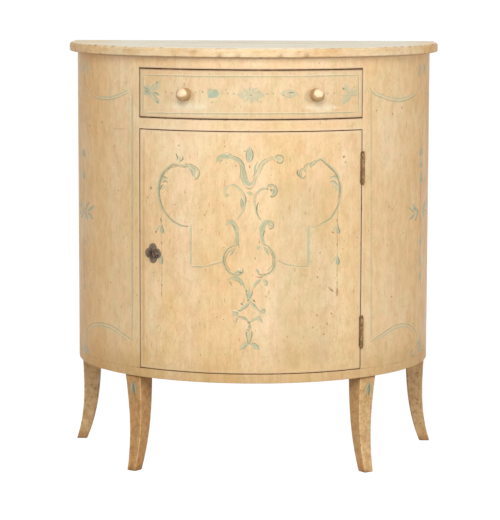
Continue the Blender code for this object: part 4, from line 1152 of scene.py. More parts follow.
def make_leg_piece(name, node, matrix, kick, sway):
    """Make one sabre leg with worn arrises."""
    body = bmesh.new()
    bmesh.ops.create_cube(body, size=1)
    uprights = [edge for edge in body.edges
                if abs(edge.verts[0].co.z - edge.verts[1].co.z) > SMALL]
    bmesh.ops.subdivide_edges(body, edges=uprights, cuts=LEG_ROWS - 1, use_grid_fill=True)
    arrises = [edge for edge in body.edges
               if abs(edge.verts[0].co.z - edge.verts[1].co.z) > SMALL]
    for vert in body.verts:
        down = 0.5 - vert.co.z
        width = leg_width(down)
        vert.co = (vert.co.x * width, vert.co.y * width - leg_sweep(down, kick, sway),
                   (BASE_LOW.z - FIT_GAP) * (1 - down))
    bmesh.ops.recalc_face_normals(body, faces=body.faces)
    foot = [edge for edge in body.edges if all(vert.co.z < SMALL for vert in edge.verts)]
    bmesh.ops.bevel(body, geom=arrises + foot, offset=sizes().leg_rounding, segments=3,
                    profile=0.5, affect="EDGES", material=-1)
    for share in LEG_CUTS:
        cut_row(body, (share * LEG_TOP_WIDTH * 0.9, 0.0, 0.0), (1.0, 0.0, 0.0))
    piece = add_piece(name, body, [leg_paint()], "carcass", [node])
    worn = []
    grime_and_shade = []
    for vert in piece.data.vertices:
        down = 1.0 - vert.co.z / (BASE_LOW.z - FIT_GAP)
        half = leg_width(down) / 2
        across = half - abs(vert.co.x)
        along = half - abs(vert.co.y + leg_sweep(down, kick, sway))
        near = max(across, along)
        worn.append(exp(-(near / LEG_WEAR_REACH) ** 2))
        smudge = 0.6 + 0.8 * noise.noise((matrix @ vert.co) * SMUDGE_WAVE)
        grime_and_shade.append(LEG_JOINT_DIRT * exp(-(BASE_LOW.z - vert.co.z) / LEG_JOINT_REACH)
                     + max(0.0, smudge) * exp(-vert.co.z / FOOT_DIRT_REACH))
        rough = noise.noise((matrix @ vert.co) * CHIP_WAVE)
        chip = sizes().chip_depth * max(0.0, rough) * exp(-near / LEG_CHIP_REACH)
        vert.co.x -= chip * (1 if vert.co.x > 0 else -1)
        vert.co = matrix @ vert.co
    set_attribute(piece.data, "worn", worn)
    set_attribute(piece.data, "grime_and_shade", grime_and_shade)
    even_shading(piece)
    return piece


def refined_piece(name, node, material, carrier, offset):
    """Make a piece from a copy of a CAD node, with its sharp edges eased."""
    body = bmesh.new()
    body.from_mesh(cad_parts[node].data)
    bmesh.ops.remove_doubles(body, verts=body.verts, dist=SMALL)
    bmesh.ops.dissolve_limit(body, angle_limit=FLAT_ANGLE, verts=body.verts, edges=body.edges)
    sharp = [edge for edge in body.edges if len(edge.link_faces) == 2
             and edge.calc_face_angle() > HARD_ANGLE]
    bmesh.ops.bevel(body, geom=sharp, offset=offset, segments=2, profile=0.5, affect="EDGES",
                    clamp_overlap=True, material=-1)
    bmesh.ops.triangulate(body, faces=[face for face in body.faces if len(face.verts) > 4])
    return add_piece(name, body, [material], carrier, [node])


def quatrefoil_body(width, height, thickness):
    """Return a bmesh of a plate with four round lobes and a raised rim, centred on zero."""
    body = bmesh.new()
    lobe = width * ESCUTCHEON_LOBE_SHARE
    reach = width / 2 - lobe
    swing = pi / 4 + asin(min(1.0, reach / lobe / sqrt(2)))
    steps = LOBE_STEPS
    for quarter in range(4):
        middle = quarter * pi / 2
        centre = Vector((reach * cos(middle), reach * sin(middle), 0.0))
        first = middle - swing + swing / steps
        start = body.verts.new(centre + Vector((cos(first), sin(first), 0.0)) * lobe)
        bmesh.ops.spin(body, geom=[start], cent=centre, axis=(0, 0, 1),
                       angle=2 * swing - 2 * swing / steps, steps=steps - 1)
    ring = sorted(body.verts, key=lambda vert: atan2(vert.co.y, vert.co.x))
    points = [vert.co.copy() for vert in ring]
    bmesh.ops.delete(body, geom=ring, context="VERTS")
    face = body.faces.new([body.verts.new((point.x, point.y * height / width, 0.0))
                           for point in points])
    face.normal_update()
    made = bmesh.ops.extrude_face_region(body, geom=[face])
    top = [item for item in made["geom"] if isinstance(item, bmesh.types.BMVert)]
    bmesh.ops.translate(body, verts=top, vec=(0.0, 0.0, thickness * PLATE_BASE_SHARE))
    bmesh.ops.recalc_face_normals(body, faces=body.faces)
    crown = [max(body.faces, key=lambda item: item.calc_center_median().z)]
    for step, rise in PLATE_PROFILE:
        bmesh.ops.inset_region(body, faces=crown, thickness=step, depth=rise * thickness,
                               use_even_offset=True)
    return body


def side_name(side):
    """Return the word for a side."""
    return "right" if side > 0 else "left"


def mirror_body(body):
    """Turn a right-hand shape into its left-hand twin."""
    bmesh.ops.scale(body, verts=body.verts, vec=(-1.0, 1.0, 1.0))
    bmesh.ops.reverse_faces(body, faces=body.faces)


def keyhole_cutters(matrix, low, high):
    """Return the round and the slot that pierce wood or iron for the key."""
    half = KEYHOLE_SLOT_WIDTH / 2
    slot = box_body((-half, -KEYHOLE_SLOT_DROP, low), (half, 0.0, high))
    bmesh.ops.transform(slot, matrix=matrix, verts=slot.verts)
    return [rod_body(KEYHOLE_RADIUS, low, high, KEYHOLE_SEGMENTS, matrix), slot]


def leaf_recess(low_x, high_x, node):
    """Return the shape that lets a hinge leaf into wood."""
    low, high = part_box(node)
    front_y = bow_y(PANEL_LOW.x)
    return box_body((low_x, front_y - RECESS_CLEARANCE, low.z - FIT_GAP),
                    (high_x, high.y + FIT_GAP, high.z + FIT_GAP))


class CABINET_OT_boards(bpy.types.Operator):
    """Make the half-round top and bottom boards"""

    bl_idname = "cabinet.boards"
    bl_label = "Top and bottom boards"

    def execute(self, context):
        body = half_round_board(TOP_RADIUS, TOP_LOW.z, TOP_HIGH.z, sizes().top_rounding,
                                TOP_LOW_ROUNDING)
        for face in body.faces:
            is_flat = face.calc_center_median().z > TOP_HIGH.z - TOP_PAINT_DROP
            face.material_index = 0 if is_flat else 1
        top = add_piece("painted_top", body, [top_paint(), rim_paint()], "carcass",
                        ["top_board"])
        weather_half_round(top, TOP_RADIUS, TOP_LOW.z, TOP_HIGH.z, dirt_and_shade=1.0, wear=1.0)
        body = half_round_board(BODY_RADIUS, BASE_LOW.z, BASE_HIGH.z, *BASE_ROUNDINGS)
        base = add_piece("painted_base", body, [base_paint()], "carcass",
                         ["bottom_board"])
        weather_half_round(base, BODY_RADIUS, BASE_LOW.z, BASE_HIGH.z, dirt_and_shade=0.4, wear=0.35)
        return {"FINISHED"}


class CABINET_OT_sides(bpy.types.Operator):
    """Make the curved side boards"""

    bl_idname = "cabinet.sides"
    bl_label = "Side boards"

    def execute(self, context):
        for side in (-1, 1):
            body = bowed_board(PANEL_LOW.z - CLOSED_GAP, PANEL_HIGH.z, PANEL_THICKNESS,
                               PANEL_LOW.x, BODY_RADIUS, (JOINT, JOINT, JOINT), BACK_Y)
            node = "side_panel_" + side_name(side)
            if side < 0:
                mirror_body(body)
            board = add_piece("side_board_" + side_name(side), body,
                              [body_paint(), pine_material("z")], "carcass",
                              [node])
            if side > 0:
                edge = PANEL_LOW.x
                carve(board, [leaf_recess(edge - RECESS_OVERLAP, edge + LEAF_THICKNESS + FIT_GAP,
                                          "hinge_frame_leaf_" + place)
                              for place in ("upper", "lower")])
            inner = bow_angle(PANEL_LOW.x, BODY_RADIUS) * BODY_RADIUS
            outer = BODY_RADIUS * pi / 2 + BACK_Y - AXIS_Y
            ends = (inner, outer) if side > 0 else (-outer, -inner)
            # Painted shadow under the top along the high edge; dirt and painted shade at the gaps
            dirt_and_shade = (None, 0.45, 0.3, 0.1) if side > 0 else (None, 0.45, 0.1, 0.3)
            weather_board(board, PANEL_LOW.z, PANEL_HIGH.z, *ends, dirt_and_shade)
        return {"FINISHED"}


class CABINET_OT_rails(bpy.types.Operator):
    """Make the rail over the drawer and the blade under it"""

    bl_idname = "cabinet.rails"
    bl_label = "Front rails"

    def execute(self, context):
        # Painted shadow under the top along the rail's high edge; dirt and painted shade at the
        # gaps
        rows = (("front_rail", "top_rail", RAIL_LOW, RAIL_HIGH, (0.6, 0.35, None, None)),
                ("front_blade", "drawer_blade", BLADE_LOW, BLADE_HIGH, (0.2, 0.45, None, None)))
        eased = sizes().board_rounding
        for name, node, low, high, dirt_and_shade in rows:
            depth = high.y - bow_y(high.x)
            reach = high.x + CLOSED_GAP
            upper = JOINT if node == "top_rail" else eased
            body = bowed_board(low.z, high.z, depth, -reach, reach, (eased, upper, JOINT / 2))
            rail = add_piece(name, body, [body_paint(), pine_material("x")], "carcass",
                             [node])
            end = bow_angle(high.x, BODY_RADIUS) * BODY_RADIUS
            weather_board(rail, low.z, high.z, -end, end, dirt_and_shade)
        return {"FINISHED"}


class CABINET_OT_drawer(bpy.types.Operator):
    """Make the bowed drawer front and its turned knobs"""

    bl_idname = "cabinet.drawer"
    bl_label = "Drawer front and knobs"

    def execute(self, context):
        eased = sizes().board_rounding
        body = bowed_board(DRAWER_LOW.z, DRAWER_HIGH.z, FRONT_THICKNESS, DRAWER_LOW.x - DRAWER_LIP,
                           DRAWER_HIGH.x + DRAWER_LIP, (eased, eased, eased))
        board = add_piece("painted_drawer", body, [drawer_paint(), pine_material("x")], "drawer",
                          ["drawer_front"])
        end = bow_angle(DRAWER_HIGH.x, BODY_RADIUS) * BODY_RADIUS
        # Dirt and painted shade along the drawer's gaps
        weather_board(board, DRAWER_LOW.z, DRAWER_HIGH.z, -end, end, (0.85, 0.85, 0.7, 0.5))
        for side in (-1, 1):
            self.make_knob(side)
        return {"FINISHED"}

    def make_knob(self, side):
        """Turn one knob and set it on the drawer front."""
        neck_top = KNOB_COLLAR_HEIGHT + KNOB_NECK_HEIGHT
        low_angle = -acos(KNOB_NECK_RADIUS / KNOB_HEAD_RADIUS)
        half = KNOB_HEAD_HEIGHT / 2
        middle = neck_top - half * sin(low_angle)
        count = KNOB_HEAD_STEPS
        profile = []
        for index in range(count + 1):
            angle = pi / 2 + (low_angle - pi / 2) * index / count
            profile.append((KNOB_HEAD_RADIUS * cos(angle), middle + half * sin(angle)))
        profile[0] = (0.0, middle + half)
        collar = KNOB_COLLAR_RADIUS
        neck = KNOB_NECK_RADIUS
        profile += [(neck * 1.06, neck_top * 0.80), (neck * 1.16, neck_top * 0.6),
                    (neck * 1.30, neck_top * 0.4), (collar * 0.95, KNOB_COLLAR_HEIGHT),
                    (collar, KNOB_COLLAR_HEIGHT * 0.7), (collar, 0.0), (0.0, 0.0)]
        matrix = surface_matrix(side * KNOB_X, (DRAWER_LOW.z + DRAWER_HIGH.z) / 2)
        matrix = matrix @ Matrix.Translation((0.0, 0.0, KNOB_SEAT_LIFT))
        body = turned_body(profile, KNOB_SEGMENTS, matrix)
        knob = add_piece("gilt_knob_" + side_name(side), body, [gilt_material()], "drawer",
                         ["knob_" + side_name(side)])
        centre = matrix @ Vector((0.0, 0.0, middle))
        worn = []
        # The worn share grows towards the front and the top: rubbed gilt, and painted light from
        # above
        for vert in knob.data.vertices:
            away = (vert.co - centre).normalized()
            worn.append(0.5 + 0.5 * away.dot(matrix.to_3x3() @ Vector(KNOB_RUBBED_AND_LIT_WAY)))
            vert.co -= away * KNOB_DENT * max(0.0, noise.noise(vert.co * KNOB_DENT_WAVE))
        set_attribute(knob.data, "worn", worn)


class CABINET_OT_door(bpy.types.Operator):
    """Make the bowed door, let in for its hinges and pierced for the key"""

    bl_idname = "cabinet.door"
    bl_label = "Door"

    def execute(self, context):
        eased = sizes().board_rounding
        body = bowed_board(DOOR_LOW.z, DOOR_HIGH.z, FRONT_THICKNESS, DOOR_LOW.x - DOOR_FREE_LIP,
                           DOOR_HIGH.x + DOOR_LIP, (eased * 0.7, eased * 0.6, JOINT))
        door = add_piece("painted_door", body, [body_paint(), pine_material("z")], "door",
                         ["door_panel"])
        edge = DOOR_HIGH.x
        recesses = [leaf_recess(edge - LEAF_THICKNESS - FIT_GAP, edge + RECESS_OVERLAP,
                                "hinge_door_leaf_" + place)
                    for place in ("upper", "lower")]
        carve(door, keyhole_cutters(surface_matrix(ESCUTCHEON_X, LOCK_HEIGHT), -KEYHOLE_DEPTH,
                                    KEYHOLE_CLEARANCE) + recesses)
        end = bow_angle(DOOR_HIGH.x, BODY_RADIUS) * BODY_RADIUS
        # Dirt and painted shade along the door's gaps
        weather_board(door, DOOR_LOW.z, DOOR_HIGH.z, -end, end, (0.45, 0.3, 0.5, 0.5))
        return {"FINISHED"}


class CABINET_OT_legs(bpy.types.Operator):
    """Make the four sabre legs"""

    bl_idname = "cabinet.legs"
    bl_label = "Legs"

    def execute(self, context):
        for side in (-1, 1):
            word = side_name(side)
            make_leg_piece("sabre_leg_front_" + word, "front_leg_" + word,
                           leg_matrix(FRONT_LEG_PLACE, side, FRONT_LEG_TURN),
                           FRONT_LEG_KICK, FRONT_LEG_SWAY)
            make_leg_piece("sabre_leg_rear_" + word, "rear_leg_" + word,
                           leg_matrix(REAR_LEG_PLACE, side, pi / 2), REAR_LEG_KICK,
                           REAR_LEG_SWAY)
        return {"FINISHED"}


class CABINET_OT_hinges(bpy.types.Operator):
    """Make the hinges and their screws"""

    bl_idname = "cabinet.hinges"
    bl_label = "Hinges"

    def execute(self, context):
        for place in ("upper", "lower"):
            for part, carrier in (("frame", "carcass"), ("door", "door")):
                node = "hinge_%s_leaf_%s" % (part, place)
                refined_piece("iron_%s_leaf_%s" % (part, place), node, hinge_iron(), carrier,
                              LEAF_EASING)
                for level in ("top", "bottom"):
                    self.make_screw("%s_screw_%s_%s" % (part, place, level), carrier)
            self.make_pin(place)
        return {"FINISHED"}

    def make_pin(self, place):
        """Turn one hinge pin with a finial at each end."""
        low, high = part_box("hinge_pin_" + place)
        half = (high.z - low.z) / 2
        shank = half - FINIAL_HEIGHT
        upper = [(FINIAL_RADIUS * wide, shank + FINIAL_HEIGHT * tall)
                 for wide, tall in FINIAL_SHARES]
        upper += [(FINIAL_NECK_RADIUS, shank + FINIAL_HEIGHT * 0.16),
                  (FINIAL_NECK_RADIUS, shank), (PIN_RADIUS, shank)]
        profile = upper + [(radius, -height) for radius, height in reversed(upper)]
        centre = (low + high) / 2
        body = turned_body(profile, PIN_SEGMENTS, Matrix.Translation(centre))
        add_piece("iron_pin_" + place, body, [hinge_iron()], "carcass",
                  ["hinge_pin_" + place])

    def make_screw(self, node, carrier):
        """Turn one countersunk screw and file the slot in its head."""
        low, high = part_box(node)
        way = -1 if node.startswith("frame") else 1
        radius = (high.z - low.z) / 2
        face_x = low.x if way < 0 else high.x
        centre = Vector((face_x, (low.y + high.y) / 2, (low.z + high.z) / 2))
        matrix = Matrix.Translation(centre) @ Matrix.Rotation(way * pi / 2, 4, "Y")
        shank = radius * SCREW_SHANK_SHARE
        length = high.x - low.x
        profile = [(0.0, 0.0), (radius * SCREW_FLAT_SHARE, 0.0), (radius, -SCREW_EDGE_DROP),
                   (shank, -SCREW_HEAD_DEPTH), (shank, -length + shank), (0.0, -length)]
        body = turned_body(profile, SCREW_SEGMENTS, matrix)
        screw = add_piece("steel_" + node, body, [dull_steel()], carrier, [node])
        reach = radius * SCREW_SLOT_SHARE
        slot = box_body((-SCREW_SLOT_HALF, -reach, -SCREW_SLOT_DEPTH),
                        (SCREW_SLOT_HALF, reach, SCREW_SLOT_RISE))
        tilt = Matrix.Rotation(radians(SCREW_TURN * centre.z * 10), 4, "Z")
        bmesh.ops.transform(slot, matrix=matrix @ tilt, verts=slot.verts)
        carve(screw, [slot])


class CABINET_OT_lock(bpy.types.Operator):
    """Make the escutcheon, the lock, its bolt and its keeper"""

    bl_idname = "cabinet.lock"
    bl_label = "Lock"

    def execute(self, context):
        matrix = surface_matrix(ESCUTCHEON_X, LOCK_HEIGHT)
        matrix = matrix @ Matrix.Translation((0.0, 0.0, FIT_GAP))
        body = quatrefoil_body(ESCUTCHEON_WIDTH, ESCUTCHEON_HEIGHT, ESCUTCHEON_THICKNESS)
        bmesh.ops.transform(body, matrix=matrix, verts=body.verts)
        plate = add_piece("iron_escutcheon", body, [old_iron()], "door",
                          ["escutcheon"])
        carve(plate, keyhole_cutters(matrix, -KEYHOLE_CLEARANCE, KEYHOLE_CLEARANCE))
        worn = []
        for vert in plate.data.vertices:
            local = matrix.inverted() @ vert.co
            outer = hypot(local.x, local.y) / (ESCUTCHEON_WIDTH / 2)
            rubbed = outer * 1.25 - 0.45 + 0.4 * noise.noise(vert.co * PLATE_WAVE)
            worn.append(max(0.0, min(1.0, rubbed)))
        set_attribute(plate.data, "worn", worn)
        refined_piece("iron_lock_case", "lock_case", old_iron(), "door", LOCK_EASING)
        refined_piece("iron_keeper", "lock_keeper", old_iron(), "carcass",
                      LEAF_EASING)
        refined_piece("steel_bolt", "lock_bolt", dull_steel(), "lock_bolt", BOLT_EASING)
        return {"FINISHED"}


class CABINET_OT_woodwork(bpy.types.Operator):
    """Give the unpainted boards inside their eased edges and old pine"""

    bl_idname = "cabinet.woodwork"
    bl_label = "Woodwork inside"

    def execute(self, context):
        grains = {"back_board": "z", "front_post": "z", "rear_post": "z", "drawer_side": "y",
                  "drawer_runner": "y", "drawer_kicker": "y", "drawer_guide": "y",
                  "drawer_stop": "x", "shelf_bearer": "y"}
        for name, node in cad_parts.items():
            if node.hide_render:
                continue
            grain = next((way for start, way in grains.items() if name.startswith(start)), "x")
            node.data.materials.clear()
            node.data.materials.append(pine_material(grain))
            weld = node.modifiers.new("joined_faces", "WELD")
            weld.merge_threshold = SMALL
            edge = node.modifiers.new("eased_edges", "BEVEL")
            edge.width = EASED_EDGE
            edge.segments = 2
            edge.limit_method = "ANGLE"
            edge.angle_limit = HARD_ANGLE
            even_shading(node)
        return {"FINISHED"}


# Colours across a stroke of the brush: place from -1 to 1, ink and cover
RECIPES = {
    "ribbon": ((-1.0, "mid", 0.40), (-0.78, "mid", 0.90), (-0.50, "pale", 0.90),
        (-0.12, "pale", 0.85), (0.06, "dark", 0.80), (0.24, "pale", 0.90), (0.52, "pale", 0.90),
        (0.78, "dark", 0.90), (1.0, "mid", 0.40)),
    "scroll": ((-1.0, "grey", 0.35), (-0.74, "dark", 0.80), (-0.40, "pale", 0.85),
        (0.0, "pale", 0.70), (0.30, "mid", 0.85), (0.64, "dark", 0.95), (0.82, "dark", 0.90),
        (1.0, "mid", 0.35)),
    "rib": ((-1.0, "pale", 0.30), (-0.6, "pale", 0.55), (-0.15, "pale", 0.70), (0.1, "grey", 0.85),
        (0.55, "dark", 0.85), (1.0, "grey", 0.25)),
    "line": ((-1.0, "pale", 0.15), (-0.40, "pale", 0.45), (-0.20, "grey", 0.58),
        (0.0, "dark", 0.54), (0.20, "grey", 0.54), (0.50, "light", 0.40), (1.0, "light", 0.10)),
    "edge": ((-1.0, "pale", 0.25), (-0.45, "pale", 0.45), (-0.1, "grey", 0.62), (0.2, "mid", 0.62),
        (0.5, "pale", 0.40), (1.0, "light", 0.15)),
    "faint": ((-1.0, "pale", 0.10), (-0.4, "pale", 0.30), (-0.1, "grey", 0.40),
        (0.2, "grey", 0.40), (0.5, "pale", 0.25), (1.0, "pale", 0.10)),
    "ghost_fill": ((-1.0, "pale", 0.15), (-0.5, "pale", 0.60), (0.0, "pale", 0.42),
        (0.5, "pale", 0.60), (1.0, "grey", 0.20)),
    "hair": ((-1.0, "grey", 0.20), (0.0, "dark", 0.72), (1.0, "grey", 0.20)),
    "ghost": ((-1.0, "pale", 0.05), (0.0, "grey", 0.28), (1.0, "pale", 0.05)),
    "dot": ((-1.0, "grey", 0.30), (0.0, "dark", 0.75), (1.0, "grey", 0.30)),
    "soft": ((-1.0, "pale", 0.20), (-0.5, "pale", 0.60), (0.1, "blue", 0.55), (0.6, "grey", 0.70),
        (1.0, "grey", 0.30)),
    "teal": ((-1.0, "teal", 0.70), (-0.4, "teal", 0.95), (0.4, "teal", 0.95), (1.0, "teal", 0.70)),
    "ground": ((-1.0, "pale", 0.0), (-0.75, "pale", 0.10), (-0.5, "pale", 0.62),
        (0.5, "blue", 0.58), (0.75, "pale", 0.10), (1.0, "pale", 0.0)),
    # Painted highlight of the lamps' glare
    "painted_glare": ((-1.0, "light", 0.0), (-0.75, "light", 0.0), (0.0, "light", 0.62),
        (0.75, "light", 0.0), (1.0, "light", 0.0)),
    "wash": ((-1.0, "ochre", 0.0), (-0.75, "ochre", 0.0), (0.0, "ochre", 0.55),
        (0.75, "ochre", 0.0), (1.0, "ochre", 0.0)),
    "thin": ((-1.0, "mid", 0.20), (-0.3, "dark", 0.85), (0.3, "dark", 0.85), (1.0, "mid", 0.20)),
    "string": ((-1.0, "grey", 0.10), (0.0, "brown", 0.42), (1.0, "grey", 0.10)),
    "leaf": ((-1.0, "mid", 0.45), (-0.5, "pale", 0.85), (0.1, "blue", 0.90), (0.6, "dark", 0.90),
        (1.0, "dark", 0.35)),
    "bud": ((-1.0, "dark", 0.50), (-0.55, "mid", 0.90), (0.0, "blue", 0.80), (0.55, "dark", 1.0),
        (1.0, "dark", 0.50)),
    "ball": ((-1.0, "mid", 0.60), (-0.5, "pale", 0.85), (0.1, "pale", 0.85), (0.55, "mid", 0.95),
        (0.85, "dark", 0.95), (1.0, "dark", 0.40)),
    "pale": ((-1.0, "pale", 0.30), (-0.5, "pale", 0.75), (0.5, "pale", 0.80), (1.0, "pale", 0.30)),
    "light": ((-1.0, "light", 0.20), (-0.4, "light", 0.85), (0.4, "light", 0.85),
        (1.0, "light", 0.20)),
    "dark": ((-1.0, "dark", 0.50), (-0.4, "dark", 0.95), (0.4, "dark", 0.95), (1.0, "dark", 0.50)),
    "blue": ((-1.0, "blue", 0.45), (-0.4, "blue", 0.95), (0.4, "blue", 0.95), (1.0, "blue", 0.45)),
    "stain": ((-1.0, "brown", 0.0), (-0.4, "brown", 0.70), (0.4, "brown", 0.75),
        (1.0, "brown", 0.0)),
}

